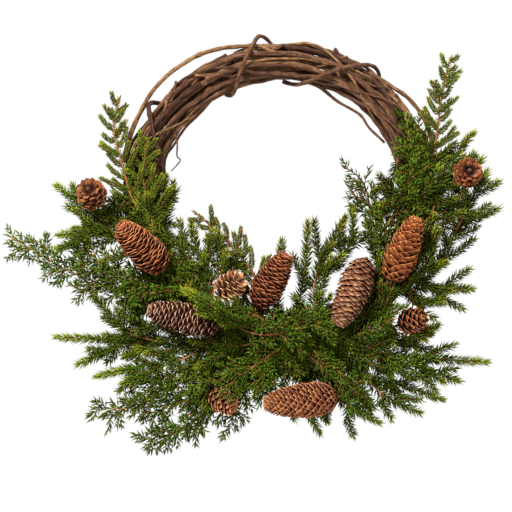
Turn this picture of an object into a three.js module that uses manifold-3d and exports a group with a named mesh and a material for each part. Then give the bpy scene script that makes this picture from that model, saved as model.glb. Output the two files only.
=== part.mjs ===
// A willow wreath dressed with evergreen sprays and pine cones, hanging against a wall.
// Millimetres, +Z up, front towards -Y. The origin is the underside of the ring at its
// top, where the wreath hangs.
import * as THREE from 'three';
import { mergeVertices } from 'three/addons/utils/BufferGeometryUtils.js';
import Module from 'manifold-3d';

const wasm = await Module();
wasm.setup();

// The ring: a bundle of vines laid in two layers round a circle.
const ringRadius = 171;
const ringSteps = 22;
const innerVine = { radius: 5.1, reach: 9.0, slots: 5, drift: 1, sides: 4 };
const outerVine = { radius: 4.3, reach: 18.55, slots: 8, drift: -5, sides: 5 };
const wrapReach = 27;
const wrapVineRadius = 3.2;

// The hanging point, from the ring's centre.
const hangX = -2.5;
const hangZ = 147;

// Play kept between two pieces that touch, and balls laid along each step of a stem.
const clearance = 0.15;
const ballsPerStep = 8;

// Needled stems. A side twig leaves its stem every "every" millimetres.
const spruce = {
  radius: 1.7, tipRadius: 1.1, step: 17.5, needle: 14.5, tipNeedle: 9.5, lean: 46,
};
const frond = {
  radius: 1.6, tipRadius: 1.0, step: 17, needle: 12.5, tipNeedle: 8.5, lean: 42,
  every: 24, sideLength: 42, spread: 40,
};
const cypress = {
  radius: 1.5, tipRadius: 0.9, step: 18, needle: 13, tipNeedle: 9, lean: 34,
  every: 26, sideLength: 42, spread: 33,
};

const bark = [0x6b4f3a, 0x5c4334, 0x765a44, 0x4f3a2e];
const spruceGreen = 0x3d5a23;
const frondGreen = 0x4c6b2a;
const cypressGreen = 0x476334;

// ---------------------------------------------------------------- small tools

const degrees = Math.PI / 180;

// A fixed scatter between 0 and 1 for the nth draw.
function scatter(n) {
  const value = Math.sin(n * 12.9898 + 4.137) * 43758.5453;
  return value - Math.floor(value);
}

function mix(from, to, share) {
  return from + (to - from) * share;
}

// Points and triangles of one closed body.
class Skin {
  constructor() {
    this.points = [];
    this.triangles = [];
  }

  point(vector) {
    this.points.push(vector);
    return this.points.length - 1;
  }

  triangle(a, b, c) {
    this.triangles.push(a, b, c);
  }

  geometry() {
    const positions = new Float32Array(this.points.length * 3);
    this.points.forEach((point, index) => point.toArray(positions, index * 3));
    const geometry = new THREE.BufferGeometry();
    geometry.setAttribute('position', new THREE.BufferAttribute(positions, 3));
    geometry.setIndex(this.triangles);
    return geometry;
  }
}

function solid(geometry) {
  const bare = geometry.clone();
  bare.deleteAttribute('normal');
  bare.deleteAttribute('uv');
  const merged = mergeVertices(bare, 1e-4);
  return new wasm.Manifold(new wasm.Mesh({
    numProp: 3,
    vertProperties: new Float32Array(merged.attributes.position.array),
    triVerts: new Uint32Array(merged.index.array),
  }));
}

// One body from several that run into each other.
function join(geometries) {
  if (geometries.length === 1) {
    return geometries[0];
  }
  let whole = solid(geometries[0]);
  for (const geometry of geometries.slice(1)) {
    whole = whole.add(solid(geometry));
  }
  const mesh = whole.getMesh();
  const result = new THREE.BufferGeometry();
  result.setAttribute('position', new THREE.BufferAttribute(mesh.vertProperties, 3));
  result.setIndex(new THREE.BufferAttribute(mesh.triVerts, 1));
  return result;
}

// Right-angled frames carried along a line of points without turning about it.
function frames(points, firstNormal) {
  const result = [];
  let normal = firstNormal.clone();
  for (let i = 0; i < points.length; i += 1) {
    const before = points[Math.max(i - 1, 0)];
    const after = points[Math.min(i + 1, points.length - 1)];
    const tangent = after.clone().sub(before).normalize();
    normal = normal.clone().addScaledVector(tangent, -normal.dot(tangent)).normalize();
    const side = tangent.clone().cross(normal);
    result.push({ point: points[i], tangent, normal, side });
  }
  return result;
}

function around(frame, radius, angle) {
  return frame.point.clone()
    .addScaledVector(frame.normal, radius * Math.cos(angle))
    .addScaledVector(frame.side, radius * Math.sin(angle));
}

// ---------------------------------------------------------------- what lies where

// Every core laid so far, as balls: x, depth towards the front, z, radius, owner.
const balls = [];

function addBalls(points, radiusAt, owner, stem = null) {
  points.forEach((point, index) => {
    const radius = radiusAt(index / Math.max(points.length - 1, 1));
    balls.push({ x: point.x, depth: -point.y, z: point.z, radius, owner, stem });
  });
}

// The first depth from "start" forwards at which a ball is clear of all others.
function freeDepth(x, z, radius, start, owner) {
  const blocked = [];
  for (const ball of balls) {
    const reach = radius + ball.radius + clearance;
    const dx = x - ball.x;
    const dz = z - ball.z;
    const left = reach * reach - dx * dx - dz * dz;
    if (left > 0 && ball.owner !== owner) {
      const half = Math.sqrt(left);
      blocked.push([ball.depth - half, ball.depth + half]);
    }
  }
  blocked.sort((a, b) => a[0] - b[0]);
  let depth = start;
  for (const [low, high] of blocked) {
    if (depth > low && depth < high) {
      depth = high;
    }
  }
  return depth;
}

function subdivide(points, parts) {
  const result = [];
  for (let i = 0; i < points.length - 1; i += 1) {
    for (let k = 0; k < parts; k += 1) {
      result.push(points[i].clone().lerp(points[i + 1], k / parts));
    }
  }
  result.push(points[points.length - 1].clone());
  return result;
}

// Points every "step" along a smooth line through plan positions [x, z].
function planLine(plan, step) {
  const corners = plan.map(([x, z]) => new THREE.Vector3(x, 0, z));
  const curve = new THREE.CatmullRomCurve3(corners, false, 'catmullrom', 0.5);
  const count = Math.max(2, Math.round(curve.getLength() / step));
  return curve.getSpacedPoints(count);
}

// Lays a stem on what is already there: no deeper than the planned depths, bent
// forwards over whatever it crosses, and no steeper than "slope".
function lay(line, radius, fromDepth, tipDepth, owner, slope) {
  const parts = ballsPerStep;
  const fine = subdivide(line, parts);
  const last = fine.length - 1;
  const spacing = fine[0].distanceTo(fine[1]);
  let depths = fine.map((point, i) => mix(fromDepth, tipDepth, i / last));
  for (let round = 0; round < 6; round += 1) {
    const free = fine.map((point, i) => freeDepth(point.x, point.z, radius, depths[i], owner));
    depths = free.map((depth, i) => {
      let highest = depth;
      for (let k = 0; k <= last; k += 1) {
        const away = Math.max(0, Math.abs(k - i) - parts + 1);
        highest = Math.max(highest, free[k] - away * spacing * slope);
      }
      return highest;
    });
  }
  return line.map((point, i) => new THREE.Vector3(point.x, -depths[i * parts], point.z));
}

// ---------------------------------------------------------------- vines

// A place in the bundle: "angle" round the ring, "phase" round the bundle's middle
// with 0 on the outer edge and 90 degrees at the front.
function inBundle(angle, reach, phase) {
  const radius = ringRadius + 2.2 * Math.sin(2 * angle + 0.6) + reach * Math.cos(phase);
  return new THREE.Vector3(
    radius * Math.cos(angle),
    -reach * Math.sin(phase) + 1.5 * Math.sin(3 * angle),
    radius * Math.sin(angle),
  );
}

function vine(points, radiusAt, normals, sides, turn) {
  const skin = new Skin();
  const last = points.length - 1;
  const rings = points.map((point, i) => {
    const before = points[Math.max(i - 1, 0)];
    const after = points[Math.min(i + 1, last)];
    const tangent = after.clone().sub(before).normalize();
    const raw = normals[i];
    const normal = raw.clone().addScaledVector(tangent, -raw.dot(tangent)).normalize();
    const frame = { point, tangent, normal, side: tangent.clone().cross(normal) };
    const ring = [];
    for (let j = 0; j < sides; j += 1) {
      const angle = turn + (j / sides) * 2 * Math.PI;
      ring.push(skin.point(around(frame, radiusAt(i / last), angle)));
    }
    return ring;
  });
  for (let i = 0; i < last; i += 1) {
    for (let j = 0; j < sides; j += 1) {
      const k = (j + 1) % sides;
      skin.triangle(rings[i][j], rings[i][k], rings[i + 1][k]);
      skin.triangle(rings[i][j], rings[i + 1][k], rings[i + 1][j]);
    }
  }
  for (let j = 1; j < sides - 1; j += 1) {
    skin.triangle(rings[0][0], rings[0][j + 1], rings[0][j]);
    skin.triangle(rings[last][0], rings[last][j], rings[last][j + 1]);
  }
  return skin.geometry();
}

const group = new THREE.Group();
group.position.set(-hangX, 0, -hangZ);

function place(name, geometry, colour, roughness) {
  const material = new THREE.MeshStandardMaterial({ color: colour, roughness, metalness: 0 });
  const mesh = new THREE.Mesh(geometry, material);
  mesh.name = name;
  group.add(mesh);
  return mesh;
}

// A vine that keeps its slot in one layer and goes round from one turn count to another.
function bundleVine(name, layer, fromTurn, toTurn, taper, colour) {
  const turnStep = 1 / ringSteps;
  const points = [];
  const normals = [];
  const at = (turn) => {
    const angle = turn * 2 * Math.PI + 1.9;
    const phase = (turn * layer.drift * 2 * Math.PI) / layer.slots;
    return { point: inBundle(angle, layer.reach, phase), angle, phase };
  };
  const push = (turn) => {
    const { point, angle, phase } = at(turn);
    points.push(point);
    const middle = inBundle(angle, 0, 0);
    normals.push(point.clone().sub(middle).normalize());
  };
  push(fromTurn + 0.004);
  for (let i = Math.floor(fromTurn / turnStep) + 1; i * turnStep < toTurn - 0.008; i += 1) {
    if (i * turnStep > fromTurn + 0.008) {
      push(i * turnStep);
    }
  }
  push(toTurn - 0.004);
  const radiusAt = (share) => layer.radius * mix(1, taper, share);
  place(name, vine(points, radiusAt, normals, layer.sides, 18 * degrees), colour, 0.9);
  addBalls(subdivide(points, 12), radiusAt, name);
}

const innerTurns = [0, 2.6, 5];
for (let i = 0; i < innerTurns.length - 1; i += 1) {
  bundleVine(`vine_inner_${i + 1}`, innerVine, innerTurns[i], innerTurns[i + 1], 0.95, bark[3]);
}
const outerTurns = [0, 2.07, 3.93, 6.04, 8];
for (let i = 0; i < outerTurns.length - 1; i += 1) {
  const name = `vine_outer_${i + 1}`;
  bundleVine(name, outerVine, outerTurns[i], outerTurns[i + 1], 0.86, bark[i % 3]);
}

// Vines outside the bundle: stations [angle, phase, reach] in degrees and millimetres.
function freeVine(name, stations, radius, step, colour) {
  const flat = stations.map(([angle, phase, reach]) => new THREE.Vector3(angle, phase, reach));
  const route = new THREE.CatmullRomCurve3(flat, false, 'catmullrom', 0.5);
  const points = [];
  const normals = [];
  const rough = route.getPoints(60).map((s) => inBundle(s.x * degrees, s.z, s.y * degrees));
  const line = new THREE.CatmullRomCurve3(rough, false, 'catmullrom', 0.5);
  const count = Math.round(line.getLength() / step);
  for (const point of line.getSpacedPoints(count)) {
    points.push(point);
    const middle = inBundle(Math.atan2(point.z, point.x), 0, 0);
    normals.push(middle.sub(point).normalize());
  }
  const radiusAt = (share) => radius * (1 - 0.25 * share);
  place(name, vine(points, radiusAt, normals, 5, 0), colour, 0.9);
  addBalls(subdivide(points, 6), radiusAt, name);
}

freeVine('vine_wrap_top', [
  [117, 215, wrapReach], [114, 170, wrapReach], [108, 110, wrapReach],
  [101, 50, wrapReach + 1], [97, 8, wrapReach + 7], [92, -40, wrapReach],
], wrapVineRadius, 9.5, bark[2]);
freeVine('vine_wrap_left', [
  [141, -45, wrapReach], [144, 5, wrapReach + 3], [150, 60, wrapReach],
  [160, 120, wrapReach], [171, 175, wrapReach + 0.5], [174, 215, wrapReach],
], wrapVineRadius, 9.5, bark[0]);
freeVine('vine_wrap_right', [
  [88, 205, wrapReach - 0.8], [80, 165, wrapReach + 1], [70, 110, wrapReach - 0.8],
  [60, 50, wrapReach - 0.8], [54, 5, wrapReach + 3], [49, -45, wrapReach],
], wrapVineRadius, 9.5, bark[1]);
freeVine('vine_loose_left', [
  [167, 12, wrapReach], [152, 8, wrapReach + 6], [137, 10, wrapReach + 11],
  [120, 8, wrapReach + 9], [106, 14, wrapReach + 1],
], 3.4, 15, bark[2]);
freeVine('vine_loose_right', [
  [46, 20, wrapReach - 2.4], [37, 8, wrapReach + 4], [27, 10, wrapReach + 5],
  [12, 10, wrapReach - 2.4],
], 3.2, 14, bark[0]);
freeVine('vine_loose_inner', [
  [69, 188, wrapReach - 2], [58, 184, wrapReach + 4], [46, 182, wrapReach + 1],
  [38, 180, wrapReach + 4], [28, 184, wrapReach - 2],
], 2.4, 15, bark[3]);

// ---------------------------------------------------------------- cones

const stalkRadius = 1.8;

// How far a piece settles back between what it rests on.
const settled = {
  cone_left: 3.6,
  cone_low_left: 2.4,
  cone_middle: 2.1,
  cone_right: 2.4,
  cone_right_low: 2.0,
  cone_small_bottom: 1.3,
  cone_small_middle: 9.7,
  cone_small_right: 0.6,
  cypress_centre: 8.6,
  cypress_centre_left: 7.1,
  cypress_centre_right: 0.5,
  cypress_left_front: 1.0,
  frond_left_inner: 0.2,
  frond_left_outer: -0.7,
  spruce_front_left: 4.25,
  spruce_left: -2.4,
  spruce_low_pale: -0.4,
  spruce_right_long: 0.3,
  spruce_right_short: 0.5,
};

// A root is planned this far forward of the ring's middle and comes to lie on its vines.
const rootDepth = 10;

// Half the width of a cone at a share of its length from the base.
function coneReach(cone, share) {
  const swell = Math.min(1, 0.72 + share * 1.1);
  return (cone.width / 2) * swell * (1 - cone.point * share ** 2.4);
}

function coneGeometry(cone) {
  const skin = new Skin();
  const { rows, across } = cone;
  const sector = (2 * Math.PI) / across;
  const rings = [];
  for (let i = 0; i <= rows; i += 1) {
    const share = i / rows;
    const ring = [];
    for (let j = 0; j < across; j += 1) {
      const angle = (j + i * 0.5) * sector;
      const radius = coneReach(cone, share) * 0.44;
      const z = cone.length * mix(0.04, 0.9, share);
      ring.push(skin.point(new THREE.Vector3(
        radius * Math.cos(angle), radius * Math.sin(angle), z,
      )));
    }
    rings.push(ring);
  }
  const spot = (radius, angle, z) => skin.point(new THREE.Vector3(
    radius * Math.cos(angle), radius * Math.sin(angle), z,
  ));
  for (let i = 0; i < rows; i += 1) {
    const share = (i + 0.5) / rows;
    const rise = mix(cone.riseLow, cone.riseHigh, share) * degrees;
    for (let j = 0; j < across; j += 1) {
      const k = (j + 1) % across;
      const lowLeft = rings[i][j];
      const lowRight = rings[i][k];
      const highRight = rings[i + 1][k];
      const highLeft = rings[i + 1][j];
      const angle = (j + 0.75 + i * 0.5) * sector;
      const draw = scatter(i * 17 + j + cone.length);
      const out = coneReach(cone, share) * mix(0.93, 1, draw);
      const start = coneReach(cone, share) * 0.44;
      const z = cone.length * mix(0.04, 0.9, i / rows) + (out - start) * Math.tan(rise);
      const half = sector * 0.46;
      const left = spot(out * 0.94, angle - half, z + 0.6);
      const right = spot(out * 0.94, angle + half, z + 0.6);
      const top = spot(out, angle, z + cone.thick);
      skin.triangle(lowLeft, lowRight, right);
      skin.triangle(lowLeft, right, left);
      skin.triangle(lowRight, highRight, right);
      skin.triangle(highRight, highLeft, top);
      skin.triangle(highLeft, left, top);
      skin.triangle(highRight, top, right);
      skin.triangle(highLeft, lowLeft, left);
      skin.triangle(left, right, top);
    }
  }
  const base = skin.point(new THREE.Vector3(0, 0, 0));
  const tip = skin.point(new THREE.Vector3(0, 0, cone.length));
  for (let j = 0; j < across; j += 1) {
    const k = (j + 1) % across;
    skin.triangle(rings[0][k], rings[0][j], base);
    skin.triangle(rings[rows][j], rings[rows][k], tip);
  }
  return skin.geometry();
}

// Stands a cone where its middle is planned, pushed forwards until it rests on what
// lies behind it. "tilt" turns its tip towards the front.
function layCone(cone) {
  const heading = cone.heading * degrees;
  const tilt = cone.tilt * degrees;
  const axis = new THREE.Vector3(
    Math.cos(heading) * Math.cos(tilt), -Math.sin(tilt), Math.sin(heading) * Math.cos(tilt),
  );
  const [x, z] = cone.middle;
  const base = new THREE.Vector3(x, 0, z).addScaledVector(axis, -cone.length / 2);
  const count = Math.ceil(cone.length / 4);
  const shares = Array.from({ length: count + 1 }, (unused, i) => i / count);
  const spots = shares.map((share) => {
    const inset = coneReach(cone, share);
    const along = Math.min(Math.max(share * cone.length, inset * 0.7),
      cone.length * 1.03 - inset * 0.75);
    return { point: base.clone().addScaledVector(axis, along), radius: inset + 0.4 };
  });
  let depth = cone.depth;
  for (let round = 0; round < 8; round += 1) {
    for (const { point, radius } of spots) {
      const own = depth - point.y;
      depth += freeDepth(point.x, point.z, radius, own, cone.name) - own;
    }
  }
  depth -= settled[cone.name] ?? 0;
  base.y -= depth;
  for (const { point, radius } of spots) {
    balls.push({
      x: point.x, depth: depth - point.y, z: point.z, radius, owner: cone.name,
    });
  }
  const turn = new THREE.Quaternion().setFromUnitVectors(new THREE.Vector3(0, 0, 1), axis);
  if (!cone.stalk) {
    const mesh = place(cone.name, coneGeometry(cone), cone.colour, 0.75);
    mesh.position.copy(base);
    mesh.quaternion.copy(turn);
    return;
  }
  const seated = new THREE.Matrix4().compose(base, turn, new THREE.Vector3(1, 1, 1));
  const stalk = stalkGeometry(cone, base, axis);
  place(cone.name, join([coneGeometry(cone).applyMatrix4(seated), stalk]), cone.colour, 0.75);
}

// A woody stalk from the ring to a cone's base, laid on what it crosses.
function stalkGeometry(cone, base, axis) {
  const angle = cone.root[0] * degrees;
  const out = ringRadius + cone.root[1];
  const start = [out * Math.cos(angle), out * Math.sin(angle)];
  const line = planLine([start, ...cone.stalk, [base.x, base.z]], 9);
  const points = lay(line, stalkRadius * 0.6, rootDepth, -base.y - 3, cone.name, 1.6);
  points[points.length - 1].copy(base);
  points.push(base.clone().addScaledVector(axis, 5));
  addBalls(subdivide(points, ballsPerStep), () => stalkRadius, cone.name);
  const normals = points.map(() => new THREE.Vector3(0, 1, 0));
  return vine(points, () => stalkRadius, normals, 4, 0);
}

// ---------------------------------------------------------------- needled sprays

const stems = [];

// The share of a stem, from its root, that stands bare.
const bareShare = 0.12;

// No needle stands this close to the root of a side twig.
const forkRoom = 6;

function straight(from, direction, length, step) {
  const count = Math.max(2, Math.round(length / step));
  const result = [];
  for (let i = 0; i <= count; i += 1) {
    const share = i / count;
    const ahead = direction.clone().multiplyScalar(length * share);
    result.push(from.clone().add(ahead));
  }
  return result;
}

// Side twigs leave a stem left and right in turn, shorter towards its tip. Each takes
// the first slant in depth that is clear of the other pieces.
function sideTwigs(spray, kind, points, seed) {
  const line = new THREE.CatmullRomCurve3(points, false, 'catmullrom', 0.5);
  const length = line.getLength();
  const count = Math.floor((length * 0.86) / kind.every);
  const twigs = [];
  for (let i = 0; i < count; i += 1) {
    const share = 0.14 + (i + 0.4) / (count + 0.6) * 0.84;
    const from = line.getPointAt(share);
    const tangent = line.getTangentAt(share);
    const side = i % 2 === 0 ? 1 : -1;
    const turn = side * (kind.spread + 8 * scatter(seed + i)) * degrees;
    const along = new THREE.Vector2(tangent.x, tangent.z).rotateAround(new THREE.Vector2(), turn);
    const reach = kind.sideLength * (1 - 0.55 * share) * mix(0.85, 1.15, scatter(seed + i * 3));
    for (const [slant, cut] of sideTries) {
      const direction = new THREE.Vector3(along.x, -slant, along.y).normalize();
      const sideStep = kind.step * 0.9;
      const twig = straight(from, direction, reach * cut, sideStep);
      const clear = subdivide(twig, ballsPerStep).slice(3).every((point) => {
        const depth = -point.y;
        return freeDepth(point.x, point.z, kind.tipRadius + 0.6, depth, spray.name) === depth;
      });
      if (clear) {
        twigs.push(twig);
        break;
      }
    }
  }
  return twigs;
}

const sideTries = [
  [0.12, 1], [0.35, 1], [-0.15, 1], [0.6, 1], [-0.4, 1], [0.9, 1],
  [0.2, 0.6], [0.6, 0.6], [-0.3, 0.6],
];

function laySpray(spray) {
  const { kind } = spray;
  spray.twigs.forEach((twig, index) => {
    let start;
    let line;
    let from;
    if (index === 0) {
      const angle = twig.root[0] * degrees;
      const out = ringRadius + twig.root[1];
      start = [out * Math.cos(angle), out * Math.sin(angle)];
      line = planLine([start, ...twig.path], kind.step);
      from = rootDepth;
    } else {
      const main = stems.find((stem) => stem.owner === spray.name);
      const spot = new THREE.CatmullRomCurve3(main.points).getPointAt(twig.share);
      line = planLine([[spot.x, spot.z], ...twig.path], kind.step);
      from = -spot.y;
    }
    const points = lay(line, kind.radius * 0.85, from, twig.tip, spray.name, 0.75);
    if (index === 0) {
      points.forEach((point) => { point.y += settled[spray.name] ?? 0; });
    }
    if (index > 0) {
      points[0].y = -from;
    }
    const stem = { owner: spray.name, kind, points, main: true };
    stems.push(stem);
    const radiusAt = (share) => mix(kind.radius, kind.tipRadius, share) * 0.9;
    addBalls(subdivide(points, ballsPerStep), radiusAt, spray.name, stem);
  });
  if (kind.every) {
    const mains = stems.filter((stem) => stem.owner === spray.name);
    mains.forEach((stem, index) => {
      const seed = spray.name.length * 31 + index * 7 + stem.points.length;
      for (const points of sideTwigs(spray, kind, stem.points, seed)) {
        const side = { owner: spray.name, kind, points, main: false };
        stems.push(side);
        addBalls(subdivide(points, ballsPerStep), () => kind.tipRadius, spray.name, side);
      }
    });
  }
}

// Needles already standing, by cell.
const needleCells = new Map();
const cellSize = 16;

function cellsNear(point) {
  const result = [];
  const [cx, cy, cz] = [point.x, point.y, point.z].map((value) => Math.floor(value / cellSize));
  for (let i = -1; i <= 1; i += 1) {
    for (let j = -1; j <= 1; j += 1) {
      for (let k = -1; k <= 1; k += 1) {
        result.push(`${cx + i},${cy + j},${cz + k}`);
      }
    }
  }
  return result;
}

function lineGap(a, b, c, d) {
  // The least distance between two short lines, by sampling one and projecting on the other.
  const ray = d.clone().sub(c);
  const size = ray.lengthSq();
  let least = Infinity;
  for (let i = 0; i <= 6; i += 1) {
    const point = a.clone().lerp(b, i / 6);
    const share = Math.min(1, Math.max(0, point.clone().sub(c).dot(ray) / size));
    least = Math.min(least, point.distanceTo(c.clone().addScaledVector(ray, share)));
  }
  return least;
}

let ballCells = null;

function nearBalls(point) {
  if (ballCells === null) {
    ballCells = new Map();
    for (const ball of balls) {
      const spread = Math.ceil((ball.radius + 3) / cellSize);
      const cx = Math.floor(ball.x / cellSize);
      const cy = Math.floor(-ball.depth / cellSize);
      const cz = Math.floor(ball.z / cellSize);
      for (let i = -spread; i <= spread; i += 1) {
        for (let j = -spread; j <= spread; j += 1) {
          for (let k = -spread; k <= spread; k += 1) {
            const key = `${cx + i},${cy + j},${cz + k}`;
            if (!ballCells.has(key)) {
              ballCells.set(key, []);
            }
            ballCells.get(key).push(ball);
          }
        }
      }
    }
  }
  const [cx, cy, cz] = [point.x, point.y, point.z].map((value) => Math.floor(value / cellSize));
  return ballCells.get(`${cx},${cy},${cz}`) ?? [];
}

function needleFits(root, end, stem) {
  for (const share of [0.12, 0.3, 0.55, 0.8, 1]) {
    const point = root.clone().lerp(end, share);
    const thick = mix(1.9, 0.3, share) + 0.4;
    for (const ball of nearBalls(point)) {
      if (ball.stem !== stem) {
        const gap = Math.hypot(point.x - ball.x, point.y + ball.depth, point.z - ball.z);
        if (gap < ball.radius + thick) {
          return false;
        }
      }
    }
  }
  for (const key of cellsNear(root)) {
    for (const other of needleCells.get(key) ?? []) {
      if (other.stem !== stem && lineGap(root, end, other.root, other.end) < 2.6) {
        return false;
      }
    }
  }
  return true;
}

// No step along a stem is longer than this.
const longestStep = 20;

// The share left off each end of a line, so that a corner it shares with a face doesn't count.
const endTrim = 0.03;

// Whether the line between two points passes through one of the faces.
function lineCrosses(from, to, faces) {
  const start = from.clone().lerp(to, endTrim);
  const ray = from.clone().lerp(to, 1 - endTrim).sub(start);
  const length = ray.length();
  const line = new THREE.Ray(start, ray.normalize());
  const hit = new THREE.Vector3();
  return faces.some(([a, b, c]) => (
    line.intersectTriangle(a, b, c, false, hit) !== null && hit.distanceTo(start) < length
  ));
}

// A spike is three faces raised from the corners of a face to a tip.
function spikeOn(corners, tip) {
  const sides = corners.map((corner, i) => [corner, corners[(i + 1) % 3], tip]);
  return { corners, tip, sides };
}

function spikesCross(one, other) {
  return one.corners.some((corner) => lineCrosses(corner, one.tip, other.sides))
    || other.corners.some((corner) => lineCrosses(corner, other.tip, one.sides));
}

function spikeMeetsFace(spike, face) {
  if (spike.corners.some((corner) => lineCrosses(corner, spike.tip, [face]))) {
    return true;
  }
  return face.some((corner, i) => {
    const next = face[(i + 1) % 3];
    const shared = spike.corners.includes(corner) && spike.corners.includes(next);
    return !shared && lineCrosses(corner, next, spike.sides);
  });
}

function clearOfOwnStem(spike, faces, spikes) {
  const reach = spike.corners[0].distanceTo(spike.tip) + longestStep;
  const near = (point) => point.distanceTo(spike.corners[0]) < reach;
  return !faces.some((face) => near(face[0]) && spikeMeetsFace(spike, face))
    && !spikes.some((other) => spikesCross(spike, other));
}

function needledStem(stem, seed, roots) {
  const { kind, points } = stem;
  const skin = new Skin();
  const last = points.length - 1;
  const first = points[1].clone().sub(points[0]).cross(new THREE.Vector3(0, 1, 0)).normalize();
  const steps = frames(points, first);
  const thick = stem.main ? kind.radius : mix(kind.radius, kind.tipRadius, 0.6);
  const rings = steps.map((frame, i) => {
    const radius = mix(thick, kind.tipRadius, i / last);
    return [0, 1, 2].map((j) => {
      const angle = (j * 120 + i * 60 + seed * 41) * degrees;
      return skin.point(around(frame, radius, angle));
    });
  });
  const cap = [rings[0][0], rings[0][2], rings[0][1]];
  const spots = [];
  for (let i = 0; i < last; i += 1) {
    for (let j = 0; j < 3; j += 1) {
      const k = (j + 1) % 3;
      spots.push({ i, j, half: 0, corners: [rings[i][j], rings[i][k], rings[i + 1][j]] });
      spots.push({ i, j, half: 1, corners: [rings[i][k], rings[i + 1][k], rings[i + 1][j]] });
    }
  }
  const pointsOf = (corners) => corners.map((corner) => skin.points[corner]);
  const faces = [cap, ...spots.map((spot) => spot.corners)].map(pointsOf);
  const end = steps[last];
  const tip = end.point.clone().addScaledVector(end.tangent, kind.tipNeedle);
  if (!needleFits(end.point, tip, stem)) {
    tip.copy(end.point).addScaledVector(end.tangent, 2);
  }
  const spikes = [spikeOn(pointsOf(rings[last]), tip)];
  skin.triangle(...cap);
  for (const { i, j, half, corners } of spots) {
    const share = (i + 0.33 + half * 0.34) / last;
    const root = middle(pointsOf(corners));
    const forked = stem.main && roots.some((spot) => spot.distanceTo(root) < forkRoom);
    const bare = forked || (stem.main ? share < bareShare : i === 0 && half === 0);
    const draw = seed * 37 + i * 7 + j * 2 + half;
    const own = { corners: pointsOf(corners), faces, spikes };
    if (bare || !raiseNeedle(skin, corners, own, steps[i], stem, share, draw)) {
      skin.triangle(...corners);
    }
  }
  raiseSpike(skin, rings[last], tip);
  return skin.geometry();
}

function raiseSpike(skin, corners, tip) {
  const apex = skin.point(tip);
  skin.triangle(corners[0], corners[1], apex);
  skin.triangle(corners[1], corners[2], apex);
  skin.triangle(corners[2], corners[0], apex);
}

function middle(points) {
  const sum = new THREE.Vector3();
  points.forEach((point) => sum.add(point));
  return sum.divideScalar(points.length);
}

// Raises a needle on one face of a stem, where one of its leans has room.
function raiseNeedle(skin, corners, own, frame, stem, share, draw) {
  const { kind } = stem;
  const root = middle(own.corners);
  const ahead = root.clone().sub(frame.point).dot(frame.tangent);
  const out = root.clone().sub(frame.point).addScaledVector(frame.tangent, -ahead).normalize();
  const length = mix(kind.needle, kind.tipNeedle, share) * mix(0.85, 1.12, scatter(draw));
  const first = kind.lean + 26 * (scatter(draw + 0.5) - 0.5);
  for (const [lean, cut] of leanChoices(first)) {
    const direction = frame.tangent.clone().multiplyScalar(Math.cos(lean * degrees))
      .addScaledVector(out, Math.sin(lean * degrees));
    const end = root.clone().addScaledVector(direction, length * cut);
    const spike = spikeOn(own.corners, end);
    const fits = [root, own.corners[0], own.corners[2]]
      .every((start) => needleFits(start, end, stem));
    if (fits && clearOfOwnStem(spike, own.faces, own.spikes)) {
      const key = cellsNear(root)[13];
      if (!needleCells.has(key)) {
        needleCells.set(key, []);
      }
      needleCells.get(key).push({ root, end, stem });
      own.spikes.push(spike);
      raiseSpike(skin, corners, end);
      return true;
    }
  }
  return false;
}

// The leans and lengths tried for a needle, as [degrees off the stem, share of its length].
function leanChoices(first) {
  return [[first, 1], [first + 12, 0.95], [first - 14, 0.95], [first + 22, 0.8], [first - 22, 0.7]];
}

// ---------------------------------------------------------------- the arrangement

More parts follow.
